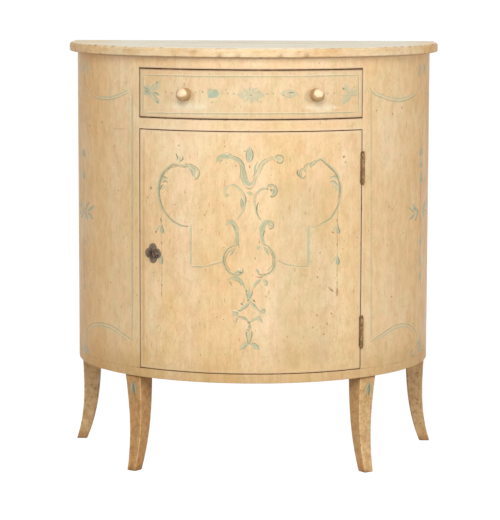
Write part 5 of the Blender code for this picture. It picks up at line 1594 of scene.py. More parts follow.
# Strokes of the brush: recipe, half width, shape and points, in pixels of the photograph
DOOR_STROKES = {
    "left_scroll_arm": ("rib", 2.2, "swell", ((193.5, 166), (190, 165.6), (185.7, 166.2),
        (178.7, 164.6), (172.3, 164.6), (167.2, 168), (162.8, 172.5), (160.2, 177.6),
        (158.5, 184.6), (158.3, 191), (158.9, 197.4), (160.5, 204.4), (162.8, 210.2),
        (167.2, 215.9), (172.3, 221), (177.4, 224.2), (181.9, 226.1), (188.3, 226.7))),
    "left_scroll_arm_edge": ("thin", 0.8, "swell", ((188, 168.2), (184, 167.5), (178, 166.2),
        (171, 167.6), (165.4, 172.5), (161.4, 179.5), (159.6, 188), (160.3, 199), (164.3, 209.8),
        (170.5, 218.2), (178.5, 224))),
    "left_scroll_fill": ("pale", 3.6, "leaf", ((187, 164.6), (191.6, 169), (195, 177.4))),
    "left_scroll_second": ("thin", 0.6, "leaf", ((190.6, 165.4), (194.4, 168.6), (196.2, 173.6))),
    "left_scroll_head": ("rib", 2.2, "taper", ((184.5, 164.5), (189, 164.6), (193.6, 166.2),
        (197.6, 169.8), (199, 174.2), (197.2, 178), (194.2, 178.8))),
    "left_scroll_heart": ("pale", 1.8, "leaf", ((190.5, 168), (193.8, 171.5), (194.8, 176))),
    "left_scroll_vein": ("thin", 0.7, "leaf", ((188.8, 168.4), (192, 172), (193, 177.5))),
    "left_tuft_high": ("dark", 1.0, "leaf", ((175.5, 152.8), (177.4, 157.6), (176.6, 160.8))),
    "left_tuft_high_fill": ("pale", 1.7, "leaf", ((178.4, 155.5), (180, 159.5), (178.6, 163.4))),
    "left_tuft_high_edge": ("dark", 0.9, "leaf", ((182.3, 155.6), (183, 158.8), (180.2, 161.6))),
    "left_tuft_side": ("pale", 1.8, "leaf", ((161, 180.4), (164.5, 178.6), (168, 179))),
    "left_tuft_side_edge": ("dark", 0.8, "leaf", ((162, 183.2), (164.6, 180.8), (167.6, 182))),
    "left_tuft_side_top": ("thin", 0.8, "leaf", ((161.6, 177.6), (165, 176.8), (168, 178.6))),
    "left_tuft_low": ("dark", 1.0, "leaf", ((160.2, 190), (161.2, 186.5), (163.6, 184.2))),
    "left_tuft_low_fill": ("pale", 1.5, "leaf", ((162, 190), (163.6, 187), (166, 185.4))),
    "left_wash": ("wash", 3.2, "even", ((143.8, 134), (143.6, 250), (143.8, 364))),
    "left_fall": ("edge", 1.9, "even", ((190.9, 224.2), (190.9, 265.9))),
    "left_cross": ("dark", 1.0, "leaf", ((183.6, 226.6), (188.6, 226.2))),
    "left_step": ("line", 1.9, "even", ((190.6, 266.3), (200.3, 266.6), (209.2, 265.3),
        (219.4, 262.5), (224, 261.5))),
    "left_pendant_string": ("string", 0.7, "even", ((161.2, 205), (161.7, 250), (161.7, 300))),
    "left_pendant_knot": ("dark", 1.3, "leaf", ((160.6, 217.6), (161.8, 222.2))),
    "left_bell_high": ("bud", 3.2, "bell", ((161.4, 223.4), (161.9, 228.6), (162.4, 233.6))),
    "left_bell_high_leaf": ("pale", 1.6, "leaf", ((160.4, 225), (157.6, 228.6), (155.4, 232.4))),
    "left_bell_high_tip": ("dark", 1.0, "leaf", ((156.6, 230.4), (155.4, 233.4))),
    "left_dot_high": ("dark", 0.9, "leaf", ((161.6, 241.4), (161.7, 245))),
    "left_bell_low": ("bud", 3.2, "bell", ((161.4, 253.4), (161.4, 258.8), (161.2, 264.6))),
    "left_bell_low_leaf": ("pale", 1.3, "leaf", ((160.4, 255.4), (158.4, 259.4), (157.8, 263.4))),
    "left_dot_middle": ("dark", 1.0, "leaf", ((161.7, 273.4), (161.8, 277.4))),
    "left_dot_low": ("dark", 0.9, "leaf", ((161.7, 283.2), (161.8, 286.8))),
    "left_dot_last": ("thin", 0.9, "leaf", ((161.7, 291.6), (161.8, 296.4))),
    "right_scroll_arm": ("rib", 2.2, "swell", ((318, 226.5), (321.9, 223.6), (327.2, 221.1),
        (331.8, 217.3), (334.9, 212.4), (338.3, 205.8), (340, 199), (341, 191.4), (340.6, 184.6),
        (339.2, 178.8), (336.2, 172.6), (331.8, 167.5), (326.4, 163), (321.1, 159.2),
        (316.5, 161.4), (313.4, 164.6), (309.6, 166.6))),
    "right_scroll_arm_edge": ("thin", 0.8, "swell", ((322.6, 161.6), (327, 165.6), (332.6, 170.4),
        (337, 176.6), (339, 184.6), (339, 193.6), (337, 203))),
    "right_scroll_foot": ("line", 1.4, "even", ((320, 225.2), (314, 227.2), (308, 226.6))),
    "right_curl_first": ("dark", 1.0, "leaf", ((298, 169), (297.4, 173.6), (300.4, 177.4))),
    "right_curl_second": ("scroll", 1.8, "leaf", ((303, 178.6), (300.6, 174.6), (301.6, 170),
        (305.2, 167.6))),
    "right_curl_third": ("scroll", 1.8, "leaf", ((306.4, 173), (305, 169), (306.8, 165),
        (310.4, 163.6))),
    "right_curl_fourth": ("scroll", 1.6, "leaf", ((311.6, 168.6), (310.8, 165), (314, 161.8),
        (318, 160.4))),
    "right_curl_base": ("thin", 0.9, "leaf", ((300, 177.8), (304, 177.8), (306.4, 174.6))),
    "right_tuft_high": ("pale", 1.8, "leaf", ((329.6, 178.6), (334, 177.2), (338.4, 179.4))),
    "right_tuft_high_edge": ("thin", 0.8, "leaf", ((330, 177.6), (334.6, 176), (338.6, 178.2))),
    "right_tuft_low": ("leaf", 1.7, "leaf", ((329.2, 182), (334, 182), (338.6, 186.4))),
    "right_tuft_last": ("pale", 1.5, "leaf", ((332, 186.4), (336, 187.4), (339.4, 191.6))),
    "right_fall": ("edge", 1.9, "even", ((308.2, 224.9), (308, 267.2))),
    "right_fall_second": ("pale", 0.8, "even", ((309.5, 226), (309.4, 266))),
    "right_step": ("line", 1.9, "even", ((309, 266.5), (301, 266.7), (294.6, 266.3), (286, 264.6),
        (279.3, 261.9), (275.6, 260.6))),
    "right_pendant_string": ("string", 0.7, "even", ((337.6, 208), (337.3, 250), (337.1, 292))),
    "right_pendant_knot": ("dark", 1.0, "leaf", ((337.4, 218), (337.4, 222.8))),
    "right_bell_high": ("bud", 3.1, "bell", ((337.4, 223.4), (338, 228.6), (338.6, 234))),
    "right_bell_high_leaf": ("pale", 1.5, "leaf", ((336.4, 225), (334, 229), (331.8, 232.6))),
    "right_bell_high_tip": ("stain", 1.1, "leaf", ((331.4, 231.6), (334.2, 233.4))),
    "right_bell_low": ("bud", 3.1, "bell", ((337.4, 254.4), (337.8, 259.6), (338, 265.2))),
    "right_bell_low_leaf": ("pale", 1.4, "leaf", ((336, 256.4), (333.4, 260.4), (331.8, 264))),
    "right_dot_high": ("dark", 0.9, "leaf", ((337.3, 243), (337.3, 246.6))),
    "right_dot_middle": ("dark", 0.9, "leaf", ((337.2, 273), (337.2, 276.8))),
    "right_dot_low": ("dark", 0.8, "leaf", ((337.2, 281), (337.2, 284.4))),
    "right_brown_bud": ("stain", 2.0, "leaf", ((337.1, 287.4), (337.2, 296.4))),
    "right_brown_spot": ("stain", 1.8, "leaf", ((328.2, 286.6), (330.6, 289.2), (333.6, 291.8))),
    "flame_bud": ("blue", 3.4, "flame", ((249.6, 145.4), (249.3, 150), (249.2, 155.4),
        (248.6, 162.6))),
    "flame_edge": ("dark", 0.8, "leaf", ((250.8, 147.6), (252.8, 153), (252.6, 158.4),
        (249.8, 162.6))),
    "flame_edge_left": ("thin", 0.8, "leaf", ((248.2, 148.4), (246.4, 154), (246.6, 160),
        (248.4, 162.8))),
    "bud_seed": ("stain", 1.1, "leaf", ((249.6, 165), (249.6, 168.6))),
    "left_arm": ("ribbon", 2.9, "arm", ((217.4, 161), (219.4, 157.6), (223.4, 156.2), (229, 156.6),
        (234.2, 158.2), (239, 160.6), (241.6, 163.6))),
    "left_arm_fall": ("ribbon", 3.6, "swell", ((236.6, 159.6), (240.4, 162.2), (242, 167),
        (243.1, 173), (244.4, 178.6), (246.6, 182.8), (249.4, 185.8))),
    "left_arm_light": ("light", 1.0, "leaf", ((224, 158.2), (227.6, 158), (231.4, 159.2))),
    "left_arm_light_tip": ("light", 0.8, "leaf", ((225, 154.4), (227.4, 153.8), (229.8, 154.4))),
    "left_arm_light_bend": ("light", 0.7, "leaf", ((234.6, 157), (236.4, 158.2), (237.6, 160))),
    "left_arm_vein": ("thin", 0.8, "leaf", ((221.4, 153.2), (228, 153), (232.6, 155.6),
        (238.6, 158.2), (242.3, 162), (244.3, 166.6), (245.8, 172.7), (247.8, 179.3),
        (249.3, 184))),
    "left_arm_outer": ("hair", 0.8, "swell", ((233.4, 159.4), (239, 162.6), (240.5, 168.6),
        (240.7, 175.7), (242.8, 182.3), (245.8, 187.2))),
    "left_arm_stripe": ("leaf", 0.9, "leaf", ((242.8, 166), (243.6, 171.4), (245, 177.6))),
    "left_arm_leaf": ("scroll", 1.5, "leaf", ((221.6, 156.4), (218, 159), (216, 163.2))),
    "left_arm_leaf_second": ("thin", 0.7, "leaf", ((223.6, 159.4), (220.4, 161), (218.6, 163))),
    "right_arm": ("ghost_fill", 2.6, "arm", ((276.4, 157.4), (269, 159.2), (264, 163),
        (259.6, 168.4), (256.8, 175), (254, 181.4), (250.4, 186.4))),
    "right_arm_outer": ("hair", 0.8, "swell", ((274, 158.4), (269, 160.4), (264.8, 163),
        (261.6, 168.4), (259.8, 175.2))),
    "right_arm_upper": ("hair", 0.8, "swell", ((273.8, 157), (266.2, 158.7), (261.5, 161.9),
        (258.5, 166.5), (256.2, 171.6), (254.4, 177), (252, 183))),
    "right_arm_under": ("hair", 0.8, "swell", ((256.6, 175.7), (255.2, 182.3), (253, 187.4))),
    "right_arm_vein": ("thin", 0.7, "leaf", ((258, 160.4), (255.8, 166.5), (254.5, 173.7),
        (251.8, 178.8))),
    "right_arm_fringe": ("leaf", 1.2, "leaf", ((257, 161), (255.2, 167), (254.4, 172))),
    "right_arm_curl": ("rib", 1.7, "even", ((275.4, 157.6), (278, 155.6), (281.4, 156.4),
        (283.2, 159.4), (281.6, 162.4), (278.4, 162.6), (277, 160.4))),
    "right_arm_heart": ("pale", 2.4, "leaf", ((275.6, 157.4), (278.6, 158.8), (281.4, 159.6))),
    "right_arm_end": ("dark", 0.8, "leaf", ((282.6, 156.8), (283.6, 159.4), (282.4, 162))),
    "middle_leaf": ("blue", 2.3, "leaf", ((243.4, 181), (248.8, 184.4), (254.4, 180.8))),
    "middle_leaf_edge": ("hair", 1.0, "leaf", ((244.6, 186.6), (249.3, 189), (254, 186.6))),
    "bead": ("ball", 2.3, "leaf", ((246.6, 193.4), (249.6, 193.4), (252.4, 195))),
    "bead_light": ("light", 1.0, "leaf", ((246, 193.4), (248, 195.4))),
    "second_left_arm": ("soft", 1.7, "arm", ((229.8, 184.6), (235.5, 185.8), (239.3, 189),
        (242.7, 193.1), (244.9, 197.7), (245.1, 202.8), (244.2, 206.8), (242.7, 211.4),
        (240.1, 215.5), (236.6, 219.8))),
    "second_left_shade": ("dark", 1.0, "leaf", ((243.6, 192.4), (245.8, 199), (244.8, 206))),
    "second_left_arm_leaf": ("leaf", 2.1, "leaf", ((240.8, 197.6), (242, 202.4), (243.4, 209))),
    "second_left_arm_edge": ("thin", 0.8, "leaf", ((241, 199.6), (241, 205.6), (242.4, 209.8))),
    "second_left_curl": ("ghost_fill", 2.0, "leaf", ((231, 184.8), (227, 186.6), (225, 190),
        (225.2, 194), (228, 196))),
    "second_left_ball": ("ball", 1.9, "leaf", ((224.8, 192.6), (226.6, 195), (229.2, 195.6))),
    "second_left_curl_dot": ("dark", 1.2, "leaf", ((224.6, 195.4), (228.4, 195.6))),
    "second_right_arm": ("soft", 1.6, "arm", ((268, 187.6), (261.4, 189.2), (257.4, 193.1),
        (255, 197.7), (254.7, 203), (255.6, 210), (258, 216.4), (261.2, 221))),
    "second_right_edge": ("hair", 0.8, "swell", ((265.6, 188), (261, 188.9), (256.6, 192.7),
        (254, 197.7), (253.9, 203))),
    "second_right_inner": ("dark", 1.0, "leaf", ((259.4, 201.4), (257.2, 205), (256.6, 210),
        (258, 215.4), (261, 220))),
    "second_right_curl": ("scroll", 2.1, "taper", ((267, 187), (271, 185), (275, 187),
        (276.2, 190.8), (274.8, 194.6), (271.4, 196.4))),
    "second_right_heart": ("ball", 1.9, "leaf", ((270.4, 188.6), (272.6, 190.8), (272.8, 194))),
    "second_right_curl_dot": ("dark", 1.4, "leaf", ((270.2, 189), (272.6, 191.6))),
    "second_right_curl_end": ("dark", 0.9, "leaf", ((270.2, 195.6), (272.6, 197.6))),
    "second_right_seed": ("stain", 1.1, "leaf", ((266.2, 188.4), (268.6, 189.8))),
    "third_left_arm": ("ribbon", 2.9, "arm", ((226.8, 224), (230.2, 221.4), (233.4, 223.4),
        (236, 228.4), (237, 234.6), (236.8, 241), (236.2, 246.4))),
    "third_left_foot": ("thin", 0.8, "leaf", ((238.2, 238), (238.4, 243.6), (240, 249.6))),
    "third_left_curl": ("ball", 1.8, "leaf", ((230, 222), (227, 223.4), (225.2, 226.4))),
    "third_left_vein": ("dark", 0.9, "leaf", ((231.6, 224), (234.4, 227.4), (236, 231.6))),
    "third_right_arm": ("ribbon", 2.9, "arm", ((270.4, 223), (266.8, 221.8), (263.8, 224.6),
        (262, 229.4), (261.8, 235.8), (263, 241.4), (265.4, 246))),
    "third_right_foot": ("ball", 1.8, "leaf", ((260.6, 246), (258.2, 248), (258, 250.6))),
    "third_right_curl": ("scroll", 1.9, "taper", ((266.8, 221.4), (270.6, 221.4), (272.9, 224.4),
        (271.8, 227.6), (269, 227.2))),
    "third_right_curl_dot": ("ball", 1.9, "leaf", ((267.6, 224.4), (270, 226), (272, 226.6))),
    "third_right_vein": ("dark", 0.9, "leaf", ((265.6, 229.6), (263.8, 233), (262.8, 238))),
    "left_ring": ("rib", 2.0, "swell", ((236.6, 245.4), (232, 246), (227.6, 249), (224.2, 253.6),
        (223, 259.6), (224.2, 266.4), (227.6, 271.4), (232.6, 274.6), (238, 275.4), (242, 273.4),
        (243.6, 269.6), (241.4, 267))),
    "left_ring_shade": ("dark", 0.9, "leaf", ((224, 254.4), (223.2, 260), (224.4, 265.6))),
    "left_ring_edge": ("thin", 0.8, "swell", ((234.4, 248.4), (230, 251), (226.6, 255.6),
        (225.6, 261), (227.2, 266.8), (231, 271))),
    "left_ring_leaf": ("leaf", 1.5, "leaf", ((235, 247.4), (232.4, 252), (229.3, 256.4))),
    "left_ring_ball": ("ball", 2.3, "leaf", ((234, 274.4), (238, 272.6), (241.6, 270.4))),
    "left_ring_spot": ("light", 1.3, "leaf", ((237.6, 269.4), (240.6, 270))),
    "left_ring_tip": ("dark", 1.1, "leaf", ((237.6, 272.4), (242.6, 272.6))),
    "right_ring": ("rib", 2.2, "swell", ((256.8, 270), (258.2, 273.8), (262.6, 275.6),
        (267.6, 274.4), (271.8, 271.4), (274.6, 266.8), (275.5, 261), (274.5, 255), (271.4, 249.6),
        (267.4, 245.6), (263.4, 243.6))),
    "right_ring_edge": ("thin", 0.8, "swell", ((266.4, 271.6), (270.4, 268), (272.9, 262.6),
        (272.6, 256.4), (269.6, 251), (265.6, 247))),
    "right_ring_leaf": ("leaf", 1.5, "leaf", ((263.6, 246.4), (266.4, 251), (269.4, 256))),
    "right_ring_hook": ("ball", 1.5, "leaf", ((256.4, 268.4), (257.4, 271.4), (259.8, 272.4))),
    "right_ring_shadow": ("stain", 0.9, "leaf", ((255, 276.6), (260, 277.4), (265.4, 276))),
    "low_left_leaf": ("ribbon", 2.2, "leaf", ((227, 281), (230.6, 278.4), (236, 278), (240.8, 281),
        (243.6, 285), (246, 290))),
    "low_left_vein": ("dark", 1.2, "leaf", ((229.4, 280.6), (230.6, 283.2), (231.4, 285.6))),
    "low_left_edge": ("thin", 0.8, "leaf", ((233.6, 280), (238.6, 281.6), (242, 286.4))),
    "low_right_leaf": ("leaf", 2.3, "leaf", ((262, 279), (258.6, 281), (255.6, 284), (253, 289))),
    "low_right_ball": ("ball", 2.7, "leaf", ((263, 279.4), (265.4, 282), (266.6, 286))),
    "low_right_dot": ("dark", 1.1, "leaf", ((264.6, 285), (267.6, 285.4))),
    "stem_bud": ("blue", 3.1, "bell", ((249.2, 287), (249.2, 293), (249, 300.6))),
    "stem_bud_left": ("thin", 0.9, "leaf", ((245.8, 289), (246.8, 294), (248.4, 299.6))),
    "stem_bud_right": ("thin", 0.9, "leaf", ((252.6, 289), (252, 294), (250, 299.6))),
    "stem_bud_seed": ("dark", 1.3, "leaf", ((245.6, 289.6), (247, 292))),
    "stem_bud_foot": ("dark", 1.2, "leaf", ((247.6, 299.6), (248.6, 301.4))),
    "stem_dot_right": ("dark", 1.2, "leaf", ((252.6, 299.4), (255.4, 302))),
    "stem_dot_left": ("dark", 1.1, "leaf", ((240.8, 302.6), (243, 305.2))),
    "roof_left": ("leaf", 2.5, "leaf", ((251, 300.6), (247, 305), (242.6, 308.6), (238.4, 311.6))),
    "roof_right": ("leaf", 2.3, "leaf", ((249.6, 300.8), (253.6, 305.8), (257.4, 309.6),
        (261, 312.6))),
    "roof_left_ball": ("ball", 3.0, "leaf", ((232.4, 311.4), (235.2, 313.6), (238.8, 315.2))),
    "roof_left_leaf": ("light", 1.0, "leaf", ((232.2, 310.6), (235, 310.6), (237.6, 312))),
    "roof_left_dot": ("dark", 1.3, "leaf", ((238, 310.6), (241.2, 311))),
    "roof_right_ball": ("ball", 2.8, "leaf", ((260, 314.2), (262.8, 311.8), (265.4, 309.4))),
    "roof_right_curl": ("thin", 0.8, "leaf", ((262, 308.4), (265, 310), (264.6, 313.4))),
    "base_left": ("scroll", 1.8, "leaf", ((236.6, 316), (241, 317.2), (245.6, 319.2),
        (249.6, 322.6))),
    "base_right": ("scroll", 1.8, "leaf", ((263, 316), (258.4, 317.4), (253.8, 319.4),
        (249.8, 322.6))),
    "base_right_leaf": ("leaf", 2.0, "leaf", ((257, 318.6), (260.4, 319.6), (262.4, 323))),
    "base_dot": ("dark", 1.5, "leaf", ((247, 321.4), (250.4, 323.4))),
    "base_far_dot": ("leaf", 1.8, "leaf", ((238, 317.6), (236, 320), (235.6, 323.4))),
    "base_tip": ("bud", 1.6, "leaf", ((249.4, 323.6), (249.6, 330))),
    "stem_left": ("thin", 1.0, "even", ((246.6, 331), (246.8, 337), (248.6, 344.4))),
    "stem_right": ("thin", 1.0, "even", ((251.8, 331), (251.6, 337), (249.6, 344.4))),
    "stem_fill": ("pale", 1.8, "leaf", ((249.2, 329.6), (249.2, 344))),
    "stem_seed": ("dark", 1.0, "leaf", ((247, 329), (249.2, 331))),
    "end_left": ("ball", 3.0, "leaf", ((249, 344.6), (245, 345), (242, 347.6), (239.6, 350.4))),
    "end_right": ("ball", 3.0, "leaf", ((249.8, 344.6), (254, 345), (257, 347.6), (259.4, 350.4))),
}

DRAWER_STROKES = {
    "border_top": ("line", 1.8, "even", ((142.2, 74.9), (168, 75.6), (196, 76.3), (251, 76.5),
        (306, 76.3), (332, 75.6), (359.4, 75.2))),
    "border_bottom": ("line", 1.8, "even", ((142.4, 112.9), (196, 113.6), (251, 113.8),
        (306, 113.5), (359.4, 111.9))),
    "border_left": ("line", 1.8, "even", ((143.1, 74.6), (143.1, 113))),
    "border_right": ("line", 1.8, "even", ((358.6, 74.6), (358.6, 112))),
    # Painted highlights: the lamps' glare below the knobs
    "left_painted_glare": ("painted_glare", 10.6, "leaf", ((171, 106), (188, 106.6), (207, 106.4))),
    "right_painted_glare": ("painted_glare", 9.0, "leaf", ((306, 107.4), (322, 108), (338, 107.4))),
    "left_flower_ground": ("ground", 6.8, "even", ((143.4, 90), (147, 90.2), (151, 91))),
    "left_flower_wing": ("ground", 5.4, "leaf", ((150, 95), (155.4, 88.6), (160, 80.4))),
    "left_flower_skirt": ("ground", 4.6, "leaf", ((150.4, 94.6), (155.4, 99), (160, 104))),
    "left_flower_stem": ("leaf", 2.0, "even", ((143.6, 94), (148, 93.9), (152.6, 93.4))),
    "left_flower_heart": ("bud", 2.6, "leaf", ((143.4, 86.4), (146.4, 89.4), (150.6, 92.6))),
    "left_flower_high": ("soft", 2.0, "leaf", ((149, 93), (152, 88), (155.4, 82.4))),
    "left_flower_far": ("soft", 2.6, "leaf", ((151, 92.6), (156, 89), (159.4, 82))),
    "left_flower_tip": ("dark", 1.1, "leaf", ((156.2, 84), (157.4, 81))),
    "left_flower_side": ("leaf", 2.0, "leaf", ((152, 93.6), (156, 93.8), (159.6, 95.4))),
    "left_flower_low": ("soft", 2.6, "leaf", ((151, 94.6), (155, 98), (158.6, 102.4))),
    "left_flower_low_dot": ("dark", 1.2, "leaf", ((156.6, 100.6), (158.6, 102.8))),
    "left_flower_base": ("soft", 2.0, "leaf", ((148.6, 95), (152, 98.4), (155.4, 102))),
    "left_flower_dot": ("dark", 1.3, "leaf", ((144, 90.6), (148.4, 92.2))),
    "right_flower_ground": ("ground", 5.4, "even", ((357, 92.6), (351.6, 92.8), (346, 92.8))),
    "right_flower_wing": ("ground", 4.6, "leaf", ((350, 94), (347, 88.6), (345, 83.4))),
    "right_flower_skirt": ("ground", 6.0, "leaf", ((351, 93), (346, 98.4), (341.4, 105.6))),
    "right_flower_stem": ("soft", 1.6, "even", ((357.4, 94.6), (353, 94.6), (348, 94.4))),
    "right_flower_high": ("soft", 2.0, "leaf", ((350, 93.6), (347, 89.6), (344.6, 85))),
    "right_flower_far": ("soft", 1.8, "leaf", ((354, 93.6), (352.4, 90.4), (352.4, 87))),
    "right_flower_side": ("soft", 1.6, "leaf", ((349, 94.8), (345, 95), (341.6, 96))),
    "right_flower_low": ("soft", 2.6, "leaf", ((351, 95.6), (346.6, 99.6), (342.2, 104.4))),
    "right_flower_base": ("soft", 1.8, "leaf", ((352, 95.8), (349.4, 99.4), (347.6, 103))),
    "right_flower_heart": ("soft", 2.4, "leaf", ((356.6, 89.6), (353, 91.4), (348.6, 92.6))),
    "right_flower_dot": ("dark", 1.2, "leaf", ((342.4, 87.6), (344.6, 89.8))),
    "dash_far_left": ("dot", 1.1, "leaf", ((164.6, 91.8), (166.8, 92))),
    "dash_left": ("dot", 1.1, "leaf", ((170.8, 92.6), (173, 92.8))),
    "dash_left_tulip": ("dot", 1.1, "leaf", ((194.4, 92.5), (196.8, 92.6))),
    "dash_left_tulip_near": ("dot", 1.1, "leaf", ((201.4, 91.9), (203.8, 92))),
    "dash_centre_left": ("dot", 1.1, "leaf", ((226.6, 93.3), (228.8, 93.5))),
    "dash_centre_left_near": ("dot", 1.1, "leaf", ((232.8, 93.6), (235.2, 93.9))),
    "dash_centre_right": ("dot", 1.1, "leaf", ((265.9, 94), (268.1, 94.1))),
    "dash_centre_right_near": ("dot", 1.1, "leaf", ((273.5, 91.6), (273.6, 95.2))),
    "dash_right": ("dot", 1.1, "leaf", ((326.6, 93.8), (328.8, 93.8))),
    "dash_right_far": ("dot", 1.1, "leaf", ((333.2, 93.4), (335.4, 93.5))),
    "dash_speck": ("dot", 0.9, "leaf", ((225.3, 88.8), (226.5, 89.8))),
    "dash_faint": ("ghost", 1.2, "leaf", ((299.8, 92.6), (302.4, 92.6))),
    "left_tulip_fill": ("teal", 5.6, "even", ((218.4, 93.4), (213, 93.4), (207.4, 93.4))),
    "left_tulip_high": ("dot", 0.7, "swell", ((207.6, 89.6), (212.4, 89.8), (216.4, 91.2),
        (219.4, 93))),
    "left_tulip_low": ("dot", 0.7, "swell", ((207.6, 97.2), (212.4, 97.4), (216.4, 96),
        (219.4, 94))),
    "left_tulip_heart": ("dot", 0.8, "leaf", ((209, 91.6), (212, 92.6), (214.6, 94.2))),
    "left_tulip_vein": ("dark", 0.8, "leaf", ((207.4, 95.2), (211, 95), (214.6, 93.8))),
    "left_tulip_tip": ("ghost", 1.4, "leaf", ((219.6, 93.4), (223.6, 93.4))),
    "right_tulip_fill": ("ground", 6.8, "leaf", ((280, 93.8), (288.6, 93.8), (298.6, 94))),
    "right_tulip_high": ("soft", 1.3, "leaf", ((295.4, 91), (290, 89.8), (284.4, 91.8))),
    "right_tulip_low": ("soft", 1.4, "leaf", ((296, 94.8), (290.4, 97), (284, 95.6))),
    "right_tulip_vein": ("dark", 0.8, "leaf", ((294.6, 92.4), (290, 92.6), (286.4, 93.4))),
    "right_tulip_dot": ("dot", 1.1, "leaf", ((282.6, 94.4), (284.6, 96))),
    "right_tulip_high_dot": ("dot", 0.9, "leaf", ((291, 89.2), (293, 90.4))),
    "right_tulip_far_dot": ("dot", 1.2, "leaf", ((289.4, 95.6), (292, 97))),
    "rosette_ground": ("ground", 9.6, "leaf", ((237, 95), (251, 94.8), (264.6, 95))),
    "rosette_left": ("soft", 2.2, "leaf", ((249.6, 95), (245, 93.6), (240.4, 95))),
    "rosette_right": ("soft", 2.1, "leaf", ((252, 95), (257, 93.4), (261.8, 95.2))),
    "rosette_high_left": ("soft", 2.1, "leaf", ((250, 94), (246.6, 90.6), (243.6, 87.2))),
    "rosette_high_right": ("soft", 2.1, "leaf", ((251.8, 94), (255, 90.4), (258.4, 87.2))),
    "rosette_high": ("soft", 2.1, "leaf", ((250.9, 93.6), (250.8, 89.6), (250.6, 86))),
    "rosette_low_left": ("soft", 2.1, "leaf", ((250, 96), (246.2, 99.4), (243.2, 102.6))),
    "rosette_low_right": ("soft", 2.1, "leaf", ((251.8, 96), (255.6, 99.2), (259, 102.4))),
    "rosette_low": ("soft", 2.1, "leaf", ((250.9, 96.6), (251, 100.4), (251.2, 104))),
    "rosette_heart": ("dot", 1.6, "leaf", ((249.2, 95), (252.8, 95))),
}

LEFT_SIDE_STROKES = {
    "upright": ("edge", 2.4, "even", ((132.4, 86.4), (132.4, 341))),
    "upright_inner": ("faint", 1.0, "even", ((128.8, 92), (128.8, 190))),
    "swag": ("line", 1.9, "swell", ((88.6, 88.4), (91, 93), (93.8, 96.6), (98.3, 98.4),
        (104.6, 99.4), (111, 99.1), (117.4, 97.5), (123.8, 94.6), (129.6, 91.8), (132.4, 87.4))),
    "swag_light": ("pale", 1.2, "swell", ((95, 95), (99, 96.4), (105, 97.2), (111, 96.9),
        (117.4, 95), (124, 92), (129.6, 89))),
    "hanging_ground": ("ground", 6.0, "leaf", ((87, 59.4), (87.2, 67.4), (87.2, 76.4))),
    "hanging_leaf_left": ("soft", 2.8, "leaf", ((84.4, 62.6), (83.8, 67), (84, 73.4))),
    "hanging_leaf_middle": ("soft", 2.2, "leaf", ((87, 62.4), (87.6, 67), (88, 73))),
    "hanging_leaf_right": ("soft", 2.2, "leaf", ((89.4, 63), (91, 66.8), (92.2, 71.4))),
    "hanging_curl": ("string", 1.0, "even", ((84.2, 74), (84.6, 79), (86, 84.4), (88.4, 88.6))),
    "arch": ("line", 1.8, "even", ((132.3, 341), (127, 336.6), (121.2, 332.7), (112.3, 326.3),
        (103.4, 323.4), (96.6, 323.2), (91.6, 324.6), (87.6, 328.8), (85.2, 335.2), (84.6, 342))),
    "arch_light": ("pale", 1.1, "swell", ((128, 341), (120.8, 335.6), (112, 329.2), (103.4, 326),
        (95.6, 326), (91, 329), (88.4, 335))),
    "arch_leaf": ("soft", 3.4, "leaf", ((83.4, 343.4), (86.2, 348.6), (90.4, 353.6))),
    "arch_leaf_low": ("soft", 2.8, "leaf", ((82, 345), (83.8, 350), (86, 355))),
    "pendant_string": ("string", 1.4, "even", ((84.4, 150), (83.9, 220), (83.9, 290))),
    "pendant_bell_high": ("bud", 4.6, "bell", ((84.2, 148), (84.2, 152), (84.2, 157))),
    "pendant_bell_low": ("bud", 4.6, "bell", ((84.1, 168), (84.1, 173), (84.1, 179))),
    "pendant_dash_high": ("leaf", 3.0, "leaf", ((83.9, 238), (83.9, 246))),
    "pendant_dash_middle": ("leaf", 3.0, "leaf", ((83.9, 258), (83.9, 266))),
    "pendant_dash_low": ("leaf", 2.6, "leaf", ((83.9, 271), (83.9, 279))),
    "pendant_dash_last": ("leaf", 2.4, "leaf", ((83.9, 282), (83.9, 289))),
    "rosette_high": ("leaf", 3.2, "leaf", ((85.4, 210), (87.4, 206), (89.6, 202.2))),
    "rosette_right": ("leaf", 2.6, "leaf", ((87.4, 212), (91, 209), (94.6, 205.6))),
    "rosette_low": ("leaf", 2.6, "leaf", ((87.2, 212.6), (90.4, 216), (93.6, 219.4))),
    "rosette_base": ("leaf", 3.2, "leaf", ((85, 212), (86.2, 216), (88, 220))),
    "rosette_heart": ("bud", 3.4, "leaf", ((84.6, 208), (85, 211), (85, 214.4))),
    "crack": ("string", 0.6, "swell", ((113, 128.9), (118, 128.6), (123, 128.9), (128, 128.5))),
}

